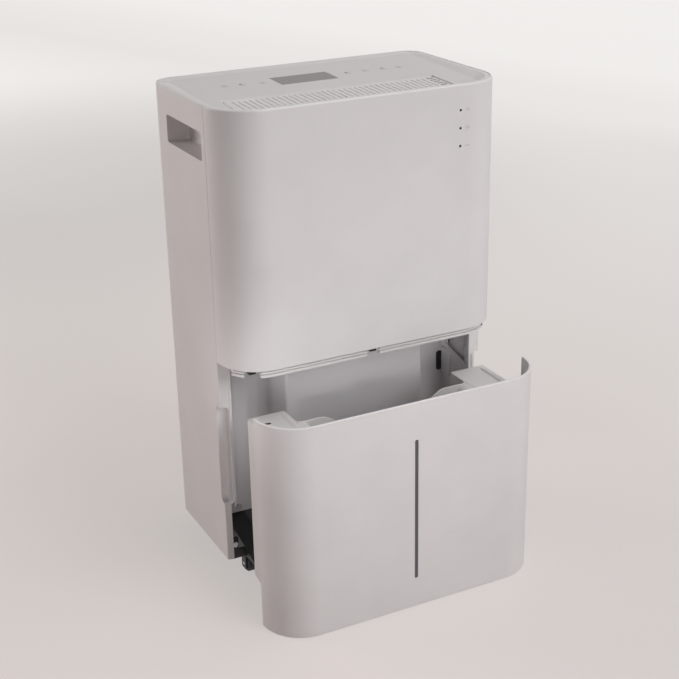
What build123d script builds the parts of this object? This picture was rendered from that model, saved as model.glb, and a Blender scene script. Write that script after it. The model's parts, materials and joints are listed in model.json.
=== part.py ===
from build123d import *
import math
import os

os.makedirs("parts", exist_ok=True)

# Cabinet. X is to the right, Y to the back, Z up from the floor, in millimetres
body_width = 350.0
body_depth = 216.0
body_top = 586.0
skirt_bottom = 34.0
front_corner = 50.0
rear_corner = 25.0
wall = 2.5
panel_bottom = 292.0
side_seam = 53.0
shell_split = 36.0
seam_gap = 0.6
fit_gap = 0.3
through = 4.0

# Bucket, stored as it is drawn out: forward of its seat and lower, standing on the floor
bucket_pull = 96.0
bucket_lift = 26.5
cover_gap = 2.5
tub_side_gap = 3.5
tub_wall = 2.5
tub_depth = 111.0
tub_middle_depth = 76.0
ear_width = 46.0
ear_drop = 30.0
ear_cap = 3.0
rim_drop = 21.0
rim_flat_half = 40.0
rim_high_half = 82.0
runner_gap = 0.5
slit_width = 4.5
slit_bottom = 38.0
slit_drop = 46.0
tub_foot_x = 65.0
tub_foot_width = 24.0
tub_foot_depth = 8.0

# Bucket bay and its liner
bay_inset = 14.5
bay_clear = 4.0
liner_wall = 2.0
left_pocket = 66.5
block_slant = 16.0
right_pocket = 52.0
jamb_foot = 8.0
jamb_gap = 1.5
scoop_bottom = 110.0
scoop_drop = 57.0
scoop_back = 10.0
scoop_corner = 9.0
scoop_floor = 1.5
header_plate = 2.5
ridge_height = 9.0
ridge_inset = 5.0
ridge_width = 3.0
ridge_stop = 21.0
catch_inset = 26.0
catch_width = 8.0
catch_notch = 16.0
sensor_inset = 5.5
sensor_drop = 89.0
sensor_width = 8.0
sensor_height = 27.0
sensor_depth = 12.0
bumper_inset = 27.5
bumper_rise = 8.0
bumper_radius = 3.5

# Base pan with its two sloping rails
base_bottom = 30.0
base_floor = 3.0
base_wall = 2.5
base_rim = 58.0
rail_width = 24.0
rail_inset = 10.5
rail_start = 11.5
rail_nose = 8.0
rail_nose_back = 30.0
screw_ear_front = 58.0
screw_ear_depth = 4.0
screw_ear_half = 4.2
screw_ear_step = 2.3

# Swivel casters
caster_front = 63.0
caster_back_inset = 31.0
caster_side_inset = 47.0
wheel_radius = 11.0
wheel_width = 14.0
wheel_edge = 2.0
wheel_side_gap = 0.5
axle_radius = 2.0
running_gap = 0.05
cheek = 2.0
cheek_half = 6.0
fork_plate = 3.0
fork_gap = 1.0
trail = 9.0
stem_radius = 4.0
stem_length = 9.5
socket_radius = 7.0
socket_height = 10.0
socket_boss = 11.0

# Deck on top
deck_rim_drop = 0.5
deck_inset = 12.0
deck_back_drop = 0.5
deck_slope = 0.036
deck_skin = 3.0
deck_rim_depth = 10.0
outlet_left_inset = 35.0
outlet_right_inset = 50.0
outlet_front = 17.0
outlet_back = 85.0
grille_depth = 6.0
grille_frame = 4.0
slat_count = 7
slat_width = 3.2
rib_count = 37
rib_width = 1.2
display_left = 50.0
display_right = 22.0
display_front = 123.0
display_back = 160.0
display_depth = 1.5
board_half = 100.0
board_front = 95.0
board_back = 118.0
board_thick = 1.6
board_post = 3.0
board_post_height = 12.0
lamp_inset = 64.0
lamp_drop = 29.0
lamp_pitch = 20.4
lamp_count = 3
lamp_radius = 1.6
lamp_length = 6.0

# Hand grips in the sides
grip_front = 62.0
grip_length = 105.0
grip_drop = 31.0
grip_height = 32.0
grip_depth = 26.0
grip_wall = 2.0

# Filter cassette in the back
filter_inset = 45.0
filter_rise = 38.0
filter_drop = 46.0
filter_depth = 9.0
filter_border = 9.0
filter_seat = 2.5
filter_lip = 4.0
filter_slats = 17
filter_slat = 4.0
filter_bars = 2
filter_face = 2.5
mesh_thick = 0.8
mesh_columns = 20
mesh_rows = 14
mesh_thread = 1.6
notch_width = 60.0
notch_height = 8.0

# Drain port, drain tube and cord gland in the back
drain_inset = 75.0
drain_z = 130.0
well_radius = 20.0
well_depth = 22.0
well_wall = 2.0
spigot_radius = 7.0
spigot_bore = 4.5
spigot_recess = 4.0
nipple_radius = 6.0
nipple_length = 12.0
tube_wall = 2.0
tube_bend = 20.0
tube_inset = 54.0
plug_gap = 0.1
plug_depth = 8.0
plug_flange = 6.0
plug_flange_thick = 2.5
gland_inset = 65.0
gland_z = 80.0
gland_radius = 8.0
gland_bore = 3.8
gland_length = 14.0
gland_flange = 11.0
gland_flange_thick = 2.0

# Drip tray, coils and refrigerant circuit
tray_floor = 3.0
tray_front = 14.0
basin_wall = 2.0
basin_height = 8.0
spout_y = 45.0
spout_radius = 7.0
spout_bore = 5.0
spout_drop = 20.0
coil_inset = 43.0
coil_height = 200.0
coil_plate = 1.5
coil_plate_lap = 1.5
coil_spacing = 33.0
condenser_depth = 24.0
evaporator_inset = 35.0
evaporator_depth = 22.0
bend_radius = 9.0
bend_tube = 3.5
bend_count = 4
fin_count = 33
fin_groove = 5.4
coil_core = 4.0
compressor_x = 14.0
can_radius = 52.0
can_height = 180.0
can_dome = 24.0
can_plate = 3.0
can_wall = 11.0
can_drain = 15.0
can_plate_radius = 62.0
grommet_radius = 8.0
grommet_height = 12.0
grommet_circle = 53.0
accumulator_radius = 19.0
accumulator_bottom = 80.0
accumulator_height = 120.0
accumulator_dome = 8.0
pipe_radius = 3.5
pipe_bend = 18.0
pipe_reach = 18.0
pipe_hole_gap = 1.5
suction_rise = 62.0
discharge_rise = 28.0
port_row = 2

# Fan, its scroll and motor
scroll_lift = 9.2
scroll_front = 12.0
scroll_depth = 72.0
scroll_wall = 2.0
scroll_radius = 108.0
neck_inset = 7.0
scroll_neck = 14.0
scroll_foot = 60.0
scroll_foot_height = 4.0
inlet_radius = 66.0
fan_radius = 86.0
blade_inner = 66.0
blade_count = 30
blade_thick = 1.6
blade_angle = 20.0
fan_start = 20.0
fan_length = 56.0
fan_plate = 2.5
dish_radius = 44.5
dish_depth = 36.0
hub_radius = 10.0
hub_length = 4.0
motor_radius = 38.0
motor_length = 36.0
shaft_radius = 4.0
shaft_start = 18.0
nut_radius = 7.0
nut_length = 5.0

# Electrical box
mains_board_inset = 35.0
mains_board_back_inset = 16.0
mains_board_length = 75.0
mains_board_height = 120.0
capacitor_gap = 28.0
capacitor_inset = 66.0
capacitor_radius = 17.0
capacitor_height = 60.0

# Float in the left ear of the tub
float_pivot_depth = 88.0
float_pivot_drop = 43.0
float_half = 11.0
float_length = 26.0
float_height = 18.0
float_offset = 15.0
float_sag = 8.0
float_pin = 2.0
float_arm = 6.0
bracket_gap = 0.6
bracket_thick = 2.5
bracket_half = 6.0

# Fasteners
screw_shank = 1.6
screw_head = 3.2
screw_sink = 1.6
screw_length = 8.0
back_screw_inset = 37.0
pan_head = 4.0
pan_head_height = 2.2

# Places worked out from the sizes above
body_half = body_width / 2
front_y = bucket_pull / 2 - body_depth / 2
rear_y = front_y + body_depth
seam_y = front_y + side_seam
bucket_y = front_y - bucket_pull
slope = bucket_lift / bucket_pull
cover_height = panel_bottom - cover_gap - bucket_lift
slit_top = cover_height - slit_drop
scoop_top = panel_bottom - scoop_drop
bay_half = body_half - bay_inset
tub_half = bay_half - tub_side_gap
ear_inner = tub_half - ear_width
float_x = -(ear_inner + tub_half) / 2
block_left = bay_half - left_pocket
block_left_front = block_left - block_slant
block_right = bay_half - right_pocket
catch_x = body_half - catch_inset
sensor_x = bay_half - sensor_inset
sensor_z = panel_bottom - sensor_drop
bumper_x = bay_half - bumper_inset
rail_outer = bay_half - rail_inset
rail_inner = rail_outer - rail_width
screw_ear_x = bay_half + screw_ear_step
caster_front_x = (rail_inner + rail_outer) / 2
caster_rear_x = body_half - caster_side_inset
outlet_left = body_half - outlet_left_inset
outlet_right = body_half - outlet_right_inset
scroll_left = outlet_left - neck_inset
scroll_right = outlet_right - neck_inset
lamp_x = body_half - lamp_inset
lamp_top = body_top - lamp_drop
grip_top = body_top - grip_drop
grip_bottom = grip_top - grip_height
grip_back = grip_front + grip_length
filter_half = body_half - filter_inset
filter_bottom = panel_bottom + filter_rise
filter_top = body_top - filter_drop
back_screw_x = body_half - back_screw_inset
drain_x = drain_inset - body_half
gland_x = body_half - gland_inset
tube_y = body_depth - tube_inset
coil_half = body_half - coil_inset
pipe_x = coil_half + pipe_reach
evaporator_y = body_depth - evaporator_inset
condenser_y = evaporator_y - coil_spacing
mains_board_x = mains_board_inset - body_half
mains_board_back = body_depth - mains_board_back_inset
mains_board_front = mains_board_back - mains_board_length
capacitor_x = mains_board_x + capacitor_gap
capacitor_y = body_depth - capacitor_inset
ear_top = cover_height - ear_drop
tub_rim = ear_top - rim_drop
block_y = front_y + tub_middle_depth + bay_clear
pocket_y = front_y + tub_depth + bay_clear
liner_back = pocket_y + liner_wall
liner_outer = bay_half + liner_wall
jamb_edge = body_half - jamb_foot
tray_bottom = panel_bottom + header_plate + fit_gap
tray_top = tray_bottom + tray_floor
fan_z = tray_top + scroll_radius + scroll_lift
base_top = base_bottom + base_floor
inside = wall + fit_gap
scroll_y = front_y + scroll_front
scroll_back = scroll_y + scroll_depth
deck_bottom = body_top - deck_rim_depth
fan_y = front_y + fan_start
fan_end = fan_y + fan_length
dish_end = fan_y + dish_depth
compressor_y = front_y + condenser_y
can_bottom = base_top + grommet_height + can_plate
can_top = can_bottom + can_height


def rail_height(y):
    return base_rim - fit_gap + slope * (y - liner_back)


def outline(inset, front):
    with BuildSketch() as face:
        with Locations((0, front + body_depth / 2)):
            Rectangle(body_width - 2 * inset, body_depth - 2 * inset)
        fillet(face.vertices().group_by(Axis.Y)[0], front_corner - inset)
        fillet(face.vertices().group_by(Axis.Y)[-1], rear_corner - inset)
    return face.sketch


def clip(y0, y1, half=body_width):
    with Locations((0, (y0 + y1) / 2)):
        Rectangle(2 * half, y1 - y0, mode=Mode.INTERSECT)


def block(x0, x1, y0, y1, z0, z1, mode=Mode.ADD):
    with Locations(((x0 + x1) / 2, (y0 + y1) / 2, (z0 + z1) / 2)):
        Box(abs(x1 - x0), abs(y1 - y0), abs(z1 - z0), mode=mode)


def post(x, y, z0, z1, radius, mode=Mode.ADD):
    with Locations((x, y, (z0 + z1) / 2)):
        Cylinder(radius, z1 - z0, mode=mode)


def rod(x, z, y0, y1, radius, mode=Mode.ADD):
    with Locations(Location((x, (y0 + y1) / 2, z), (90, 0, 0))):
        Cylinder(radius, y1 - y0, mode=mode)


def cross_rod(x0, x1, y, z, radius, mode=Mode.ADD):
    with Locations(Location(((x0 + x1) / 2, y, z), (0, 90, 0))):
        Cylinder(radius, x1 - x0, mode=mode)


def save(piece, name):
    piece.part.label = name
    export_step(piece.part, f"parts/{name}.step")


# Rear shell: the back of the cabinet with its rounded corners
grip_half = body_half - wall
split_y = rear_y - shell_split
filter_outer = filter_half + fit_gap
seat_y = rear_y - filter_depth - fit_gap
back_screws = [(x, z) for x in (-back_screw_x, back_screw_x)
               for z in ((base_top + base_rim) / 2, (deck_bottom + body_top) / 2)]
with BuildPart() as rear_shell:
    with BuildSketch(Plane.XY.offset(skirt_bottom)):
        add(outline(0, front_y))
        add(outline(wall, front_y), mode=Mode.SUBTRACT)
        clip(split_y, rear_y)
    extrude(amount=body_top - skirt_bottom)
    block(-filter_outer - filter_seat, filter_outer + filter_seat, seat_y - filter_seat, rear_y - wall,
          filter_bottom - fit_gap - filter_seat, filter_top + fit_gap + filter_seat)
    block(-filter_outer, filter_outer, seat_y, rear_y + through,
          filter_bottom - fit_gap, filter_top + fit_gap, Mode.SUBTRACT)
    block(-filter_outer + filter_lip, filter_outer - filter_lip, seat_y - filter_seat - through, seat_y,
          filter_bottom + filter_lip, filter_top - filter_lip, Mode.SUBTRACT)
    rod(drain_x, drain_z, rear_y - wall - through, rear_y + through, well_radius + well_wall, Mode.SUBTRACT)
    rod(gland_x, gland_z, rear_y - wall - through, rear_y + through, gland_radius, Mode.SUBTRACT)
    for x, z in back_screws:
        with Locations(Location((x, rear_y, z), (-90, 0, 0))):
            CounterSinkHole(screw_shank, screw_head, wall + through)
save(rear_shell, "rear_shell")

# Side walls with the windows of the hand grips, and the jambs of the bucket bay with a finger scoop
jamb_top = panel_bottom - jamb_gap
scoop_x = liner_outer + scoop_floor
scoop_y = seam_y + scoop_back
for side, hand in ((-1, "left"), (1, "right")):
    with BuildPart() as scoop_room:
        with BuildSketch(Plane.YZ.offset(side * scoop_x)) as scoop:
            with Locations(((seam_y - through + scoop_y) / 2, (scoop_bottom + scoop_top) / 2)):
                Rectangle(scoop_y - seam_y + through, scoop_top - scoop_bottom)
            fillet(scoop.vertices().group_by(Axis.Y)[0].sort_by(Axis.X)[-1], scoop_corner)
        extrude(amount=side * (body_half - scoop_x + through))
    with BuildPart() as side_wall:
        block(side * grip_half, side * body_half, seam_y, split_y, skirt_bottom, body_top)
        block(side * (grip_half - through), side * (body_half + through), front_y + grip_front,
              front_y + grip_back, grip_bottom, grip_top, Mode.SUBTRACT)
        add(scoop_room.part, mode=Mode.SUBTRACT)
    save(side_wall, f"side_wall_{hand}")
    with BuildPart() as jamb:
        block(side * jamb_edge, side * grip_half, seam_y, seam_y + wall, skirt_bottom, jamb_top)
        block(side * liner_outer, side * grip_half, seam_y, seam_y + wall, scoop_bottom - wall, jamb_top)
        block(side * liner_outer, side * grip_half, seam_y, scoop_y + wall,
              scoop_bottom - wall, scoop_top + wall)
        add(scoop_room.part, mode=Mode.SUBTRACT)
    save(jamb, f"jamb_{hand}")

# Front panel of the upper half, with three pinholes for the lamps
lamp_rows = [lamp_top - i * lamp_pitch for i in range(lamp_count)]
with BuildPart() as front_panel:
    with BuildSketch(Plane.XY.offset(panel_bottom)):
        add(outline(0, front_y))
        add(outline(wall, front_y), mode=Mode.SUBTRACT)
        clip(front_y, seam_y - seam_gap)
    extrude(amount=body_top - panel_bottom)
    for z in lamp_rows:
        rod(lamp_x, z, front_y - through, front_y + wall + through, lamp_radius, Mode.SUBTRACT)
save(front_panel, "front_panel")

with BuildPart() as indicator_lenses:
    for z in lamp_rows:
        rod(lamp_x, z, front_y, front_y + lamp_length, lamp_radius - running_gap)
save(indicator_lenses, "indicator_lenses")

# Hand grip cups behind the side openings
for side, name in ((-1, "handle_cup_left"), (1, "handle_cup_right")):
    with BuildPart() as cup:
        block(side * (grip_half - grip_depth), side * grip_half, front_y + grip_front - grip_wall,
              front_y + grip_back + grip_wall, grip_bottom - grip_wall, grip_top + grip_wall)
        block(side * (grip_half - grip_depth + grip_wall), side * (grip_half + through), front_y + grip_front,
              front_y + grip_back, grip_bottom, grip_top, Mode.SUBTRACT)
    save(cup, name)

# Bay header: the plate that closes the panel from below, with its hanging ridge
ridge_y = seam_y - ridge_stop
with BuildPart() as bay_header:
    with BuildSketch(Plane.XY.offset(panel_bottom)):
        add(outline(inside, front_y))
        clip(front_y, seam_y - seam_gap)
    extrude(amount=header_plate)
    with BuildSketch(Plane.XY.offset(panel_bottom - ridge_height)):
        add(outline(ridge_inset, front_y))
        add(outline(ridge_inset + ridge_width, front_y), mode=Mode.SUBTRACT)
        clip(front_y, ridge_y - seam_gap)
    extrude(amount=ridge_height)
    for x in (-catch_x, 0, catch_x):
        block(x - catch_notch / 2, x + catch_notch / 2, front_y, ridge_y,
              panel_bottom - ridge_height - through, panel_bottom, Mode.SUBTRACT)
    post(0, front_y + spout_y, panel_bottom - through, panel_bottom + through, spout_radius + fit_gap,
         Mode.SUBTRACT)
save(bay_header, "bay_header")

# Catches that hold the bucket shut, in the notches of the ridge
with BuildPart() as header_catches:
    for x in (-catch_x, 0, catch_x):
        reach = math.sqrt((front_corner - ridge_inset) ** 2 - max(0, abs(x) - body_half + front_corner) ** 2)
        catch_y = front_y + front_corner - reach
        block(x - catch_width / 2, x + catch_width / 2, catch_y, catch_y + catch_width,
              panel_bottom - ridge_height / 2, panel_bottom)
save(header_catches, "header_catches")

# Bay liner: the grey wall round the back of the bucket, stepped forward over the compressor
bay_line = [(-bay_half, seam_y), (-bay_half, pocket_y), (-block_left, pocket_y), (-block_left_front, block_y),
            (block_right, block_y), (block_right, pocket_y), (bay_half, pocket_y), (bay_half, seam_y)]
with BuildSketch() as bay_plan:
    with BuildLine():
        Polyline(*bay_line, close=True)
    make_face()
with BuildPart() as bay_liner:
    with BuildSketch(Plane.XY.offset(base_rim)):
        add(bay_plan.sketch)
        offset(amount=liner_wall, kind=Kind.INTERSECTION, mode=Mode.REPLACE)
        add(bay_plan.sketch, mode=Mode.SUBTRACT)
        clip(seam_y, rear_y)
    extrude(amount=tray_bottom - base_rim)
    with BuildSketch(Plane.XZ.offset(-liner_back)):
        with Locations((sensor_x, sensor_z)):
            SlotOverall(sensor_height, sensor_width, rotation=90)
    extrude(amount=liner_wall + through, mode=Mode.SUBTRACT)
save(bay_liner, "bay_liner")

with BuildPart() as level_sensor:
    with BuildSketch(Plane.XZ.offset(-pocket_y - sensor_depth)):
        with Locations((sensor_x, sensor_z)):
            SlotOverall(sensor_height - running_gap, sensor_width - running_gap, rotation=90)
    extrude(amount=sensor_depth)
save(level_sensor, "level_sensor")

with BuildPart() as bay_bumpers:
    for x in (-bumper_x, bumper_x):
        rod(x, base_rim + bumper_rise, pocket_y - bay_clear + runner_gap, pocket_y, bumper_radius)
save(bay_bumpers, "bay_bumpers")

# Base pan: tray under the works, with two rails that slope down to the front
casters = {"front_left": (-caster_front_x, front_y + caster_front),
           "front_right": (caster_front_x, front_y + caster_front),
           "rear_left": (-caster_rear_x, rear_y - caster_back_inset),
           "rear_right": (caster_rear_x, rear_y - caster_back_inset)}
rail_front = front_y + rail_start
nose_back = front_y + rail_nose_back
nose_bottom = rail_height(rail_front) - rail_nose
ear_y = front_y + screw_ear_front
ear_height = rail_height(ear_y) - runner_gap
ear_top_z = base_rim - fit_gap
screw_z = (ear_height + ear_top_z) / 2
with BuildSketch() as base_plan:
    add(outline(inside, front_y))
    clip(liner_back, rear_y)
    with BuildLine():
        Polyline((-block_left, liner_back), (-block_left_front, block_y), (block_right, block_y),
                 (block_right, liner_back), close=True)
    make_face()
with BuildPart() as base_pan:
    with BuildSketch(Plane.XY.offset(base_bottom)):
        add(base_plan.sketch)
    extrude(amount=base_rim - base_bottom)
    with BuildSketch(Plane.XY.offset(base_top)):
        add(base_plan.sketch)
        offset(amount=-base_wall, mode=Mode.REPLACE)
    extrude(amount=base_rim - base_top, mode=Mode.SUBTRACT)
    for side in (-1, 1):
        with BuildSketch(Plane.YZ.offset(side * rail_inner)):
            with BuildLine():
                Polyline((rail_front, nose_bottom), (nose_back, nose_bottom), (nose_back, base_bottom),
                         (liner_back, base_bottom), (liner_back, rail_height(liner_back)),
                         (rail_front, rail_height(rail_front)), close=True)
            make_face()
        extrude(amount=side * (rail_outer - rail_inner))
        block(side * rail_outer, side * screw_ear_x, ear_y, ear_y + screw_ear_depth, base_bottom, ear_height)
        block(side * (screw_ear_x - screw_ear_half), side * (screw_ear_x + screw_ear_half), ear_y,
              ear_y + screw_ear_depth, base_bottom, ear_top_z)
        rod(side * screw_ear_x, screw_z, ear_y - through, ear_y + screw_ear_depth + through, screw_shank,
            Mode.SUBTRACT)
    for name, (x, y) in casters.items():
        if name.startswith("rear"):
            post(x, y, base_bottom, base_bottom + socket_height, socket_boss)
        post(x, y, base_bottom - through, base_bottom + socket_height, socket_radius, Mode.SUBTRACT)
    for x, z in back_screws[0::2]:
        rod(x, z, rear_y - screw_length, rear_y, screw_shank, Mode.SUBTRACT)
save(base_pan, "base_pan")

with BuildPart() as base_screws:
    for side in (-1, 1):
        rod(side * screw_ear_x, screw_z, ear_y - pan_head_height, ear_y, pan_head)
        rod(side * screw_ear_x, screw_z, ear_y, ear_y + screw_ear_depth, screw_shank)
save(base_screws, "base_screws")

with BuildPart() as back_screw_set:
    for x, z in back_screws:
        rod(x, z, rear_y - screw_length, rear_y - screw_sink, screw_shank)
        with Locations(Location((x, rear_y - screw_sink / 2, z), (90, 0, 0))):
            Cone(screw_head, screw_shank, screw_sink)
save(back_screw_set, "back_screws")

# Casters: steel sockets in the base, forks that swivel in them and wheels on axles
with BuildPart() as caster_sockets:
    for x, y in casters.values():
        post(x, y, base_bottom, base_bottom + socket_height, socket_radius)
        post(x, y, base_bottom - through, base_bottom + socket_height + through, stem_radius + running_gap,
             Mode.SUBTRACT)
save(caster_sockets, "caster_sockets")

fork_top = base_bottom - fork_gap
fork_under = fork_top - fork_plate
cheek_inner = wheel_width / 2 + wheel_side_gap
cheek_outer = cheek_inner + cheek
for corner, (x, y) in casters.items():
    axle_y = y + trail
    with BuildPart() as fork:
        block(x - cheek_outer, x + cheek_outer, y - cheek_outer, axle_y + cheek_half, fork_under, fork_top)
        for side in (-1, 1):
            block(x + side * cheek_inner, x + side * cheek_outer, axle_y - cheek_half, axle_y + cheek_half,
                  wheel_radius - cheek_half, fork_under)
        post(x, y, fork_top, fork_top + fork_gap + stem_length, stem_radius)
        cross_rod(x - cheek_outer - through, x + cheek_outer + through, axle_y, wheel_radius, axle_radius,
                  Mode.SUBTRACT)
    save(fork, f"caster_fork_{corner}")
    with BuildPart() as axle:
        cross_rod(x - cheek_outer, x + cheek_outer, axle_y, wheel_radius, axle_radius)
    save(axle, f"caster_axle_{corner}")
    with BuildPart() as wheel:
        cross_rod(x - wheel_width / 2, x + wheel_width / 2, axle_y, wheel_radius, wheel_radius)
        fillet(wheel.edges().filter_by(GeomType.CIRCLE), wheel_edge)
        cross_rod(x - wheel_width, x + wheel_width, axle_y, wheel_radius, axle_radius + running_gap,
                  Mode.SUBTRACT)
    save(wheel, f"caster_wheel_{corner}")

# Deck: a tray inside the rim of the cabinet whose floor falls towards the front
deck_back = rear_y - deck_inset
deck_plane = Plane(origin=(0, deck_back, body_top - deck_back_drop), x_dir=(1, 0, 0),
                   z_dir=(0, -deck_slope, 1))
deck_under = deck_plane.offset(-deck_skin)


def deck_height(y):
    return body_top - deck_back_drop + deck_slope * (y - deck_back)


def deck_spot(x, y):
    return deck_plane.to_local_coords(Vector(x, y, deck_height(y)))


def deck_patch(x0, x1, y0, y1, inset=0.0):
    near = deck_spot(x0, y0)
    far = deck_spot(x1, y1)
    with Locations(((near.X + far.X) / 2, (near.Y + far.Y) / 2)):
        Rectangle(far.X - near.X - 2 * inset, far.Y - near.Y - 2 * inset)


with BuildPart() as deck_floor:
    with BuildSketch(Plane.XY.offset(deck_bottom - deck_rim_depth)):
        add(outline(deck_inset, front_y))
    extrude(amount=2 * deck_rim_depth + through)
    split(bisect_by=deck_plane, keep=Keep.BOTTOM)
    split(bisect_by=deck_under, keep=Keep.TOP)
board_z = deck_bottom - board_post_height
with BuildPart() as top_deck:
    with BuildSketch(Plane.XY.offset(deck_bottom)):
        add(outline(inside, front_y))
        add(outline(deck_inset, front_y), mode=Mode.SUBTRACT)
    extrude(amount=deck_rim_depth - deck_rim_drop)
    add(deck_floor.part)
    for x in (board_post - board_half, board_half - board_post):
        for y in (front_y + board_front + board_post, front_y + board_back - board_post):
            post(x, y, board_z, deck_height(y) - deck_skin / 2, board_post)
    with BuildSketch(deck_plane.offset(-deck_rim_depth)):
        deck_patch(-outlet_left, outlet_right, front_y + outlet_front, front_y + outlet_back)
    extrude(amount=2 * deck_rim_depth, mode=Mode.SUBTRACT)
    with BuildSketch(deck_plane.offset(-display_depth)):
        deck_patch(-display_left, display_right, front_y + display_front, front_y + display_back)
    extrude(amount=deck_rim_depth, mode=Mode.SUBTRACT)
    for x, z in back_screws[1::2]:
        rod(x, z, rear_y - screw_length, rear_y, screw_shank, Mode.SUBTRACT)
save(top_deck, "top_deck")

with BuildPart() as display_window:
    with BuildSketch(deck_plane.offset(-display_depth)):
        deck_patch(-display_left, display_right, front_y + display_front, front_y + display_back, fit_gap)
    extrude(amount=display_depth)
save(display_window, "display_window")

# Outlet grille: long slats across the width with fewer ribs along the depth
grille_width = outlet_left + outlet_right - 2 * grille_frame
grille_reach = outlet_back - outlet_front - 2 * grille_frame
slat_pitch = (grille_reach + slat_width) / (slat_count + 1)
rib_pitch = (grille_width + rib_width) / (rib_count + 1)
grille_middle = deck_spot((outlet_right - outlet_left) / 2, front_y + (outlet_front + outlet_back) / 2)
with BuildPart() as outlet_grille:
    with BuildSketch(deck_plane.offset(-grille_depth)):
        deck_patch(-outlet_left, outlet_right, front_y + outlet_front, front_y + outlet_back, fit_gap)
        with Locations((grille_middle.X, grille_middle.Y)):
            with GridLocations(rib_pitch, slat_pitch, rib_count + 1, slat_count + 1):
                Rectangle(rib_pitch - rib_width, slat_pitch - slat_width, mode=Mode.SUBTRACT)
    extrude(amount=grille_depth)
save(outlet_grille, "outlet_grille")

with BuildPart() as control_board:
    block(-board_half, board_half, front_y + board_front, front_y + board_back,
          board_z - board_thick, board_z)
save(control_board, "control_board")

# Filter cassette: a slatted frame that pulls out backwards, with a net behind the slats
slot_width = (2 * filter_half - 2 * filter_border + filter_slat) / (filter_bars + 1)
slot_pitch = (filter_top - filter_bottom - 2 * filter_border - notch_height + filter_slat) / filter_slats
filter_middle = (filter_bottom + filter_top - notch_height) / 2
mesh_half = filter_half - filter_seat
mesh_height = filter_top - filter_bottom - 2 * filter_seat
mesh_y = rear_y - filter_face
mesh_across = 2 * mesh_half / mesh_columns
mesh_down = mesh_height / mesh_rows
with BuildPart() as filter_frame:
    block(-filter_half, filter_half, rear_y - filter_depth, rear_y, filter_bottom, filter_top)
    block(-mesh_half, mesh_half, rear_y - filter_depth - through, mesh_y, filter_bottom + filter_seat,
          filter_top - filter_seat, Mode.SUBTRACT)
    with BuildSketch(Plane.XZ.offset(-rear_y)):
        with Locations((0, filter_middle)):
            with GridLocations(slot_width, slot_pitch, filter_bars + 1, filter_slats):
                Rectangle(slot_width - filter_slat, slot_pitch - filter_slat)
        with Locations((0, filter_top - notch_height / 2)):
            Rectangle(notch_width, notch_height)
    extrude(amount=filter_face + through, mode=Mode.SUBTRACT)
save(filter_frame, "filter_frame")

with BuildPart() as filter_mesh:
    with BuildSketch(Plane.XZ.offset(-mesh_y)):
        with Locations((0, (filter_bottom + filter_top) / 2)):
            Rectangle(2 * mesh_half, mesh_height)
            with GridLocations(mesh_across, mesh_down, mesh_columns, mesh_rows):
                Rectangle(mesh_across - mesh_thread, mesh_down - mesh_thread, mode=Mode.SUBTRACT)
    extrude(amount=mesh_thick)
save(filter_mesh, "filter_mesh")

# Continuous drain: a spigot in a well, its rubber plug and the tube from the tray
well_floor = rear_y - well_depth + well_wall
spigot_tip = rear_y - spigot_recess
with BuildPart() as drain_port:
    rod(drain_x, drain_z, rear_y - well_depth, rear_y, well_radius + well_wall)
    rod(drain_x, drain_z, well_floor, rear_y + through, well_radius, Mode.SUBTRACT)
    rod(drain_x, drain_z, well_floor, spigot_tip, spigot_radius)
    rod(drain_x, drain_z, rear_y - well_depth - nipple_length, rear_y - well_depth, nipple_radius)
    rod(drain_x, drain_z, rear_y - well_depth - nipple_length - through, rear_y, spigot_bore, Mode.SUBTRACT)
save(drain_port, "drain_port")

with BuildPart() as drain_plug:
    rod(drain_x, drain_z, spigot_tip - plug_depth, spigot_tip + plug_gap, spigot_bore - plug_gap)
    rod(drain_x, drain_z, spigot_tip + plug_gap, spigot_tip + plug_gap + plug_flange_thick, plug_flange)
save(drain_plug, "drain_plug")

with BuildPart() as drain_tube:
    with BuildLine() as tube_line:
        FilletPolyline((drain_x, front_y + tube_y, tray_bottom), (drain_x, front_y + tube_y, drain_z),
                       (drain_x, rear_y - well_depth, drain_z), radius=tube_bend)
    with BuildSketch(Plane.XY.offset(tray_bottom)):
        with Locations((drain_x, front_y + tube_y)):
            Circle(nipple_radius + tube_wall)
            Circle(nipple_radius, mode=Mode.SUBTRACT)
    sweep(path=tube_line.line)
save(drain_tube, "drain_tube")

with BuildPart() as cord_gland:
    rod(gland_x, gland_z, rear_y - gland_length, rear_y, gland_radius)
    rod(gland_x, gland_z, rear_y - wall - gland_flange_thick, rear_y - wall, gland_flange)
    rod(gland_x, gland_z, rear_y - gland_length - through, rear_y + through, gland_bore, Mode.SUBTRACT)
save(cord_gland, "cord_gland")

# Drip tray: the floor under the coils and fan, with its spout over the bucket
basin_half = coil_half + 2 * bend_radius
basin_front = front_y + condenser_y - condenser_depth / 2 - basin_height
basin_back = front_y + evaporator_y + evaporator_depth / 2 + basin_wall + basin_height
with BuildPart() as drip_tray:
    with BuildSketch(Plane.XY.offset(tray_bottom)):
        add(outline(inside, front_y))
        clip(front_y + tray_front, rear_y)
    extrude(amount=tray_floor)
    block(-basin_half, basin_half, basin_front, basin_back, tray_top, tray_top + basin_height)
    block(-basin_half + basin_wall, basin_half - basin_wall, basin_front + basin_wall,
          basin_back - basin_wall, tray_top, tray_top + basin_height, Mode.SUBTRACT)
    post(0, front_y + spout_y, tray_bottom - spout_drop, tray_bottom, spout_radius)
    post(0, front_y + spout_y, tray_bottom - spout_drop - through, tray_top + through, spout_bore,
         Mode.SUBTRACT)
    post(drain_x, front_y + tube_y, tray_bottom - through, tray_top + through, nipple_radius, Mode.SUBTRACT)
    for y in (condenser_y, evaporator_y):
        post(pipe_x, front_y + y, tray_bottom - through, tray_top + basin_height + through,
             pipe_radius + pipe_hole_gap, Mode.SUBTRACT)
save(drip_tray, "drip_tray")

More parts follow.
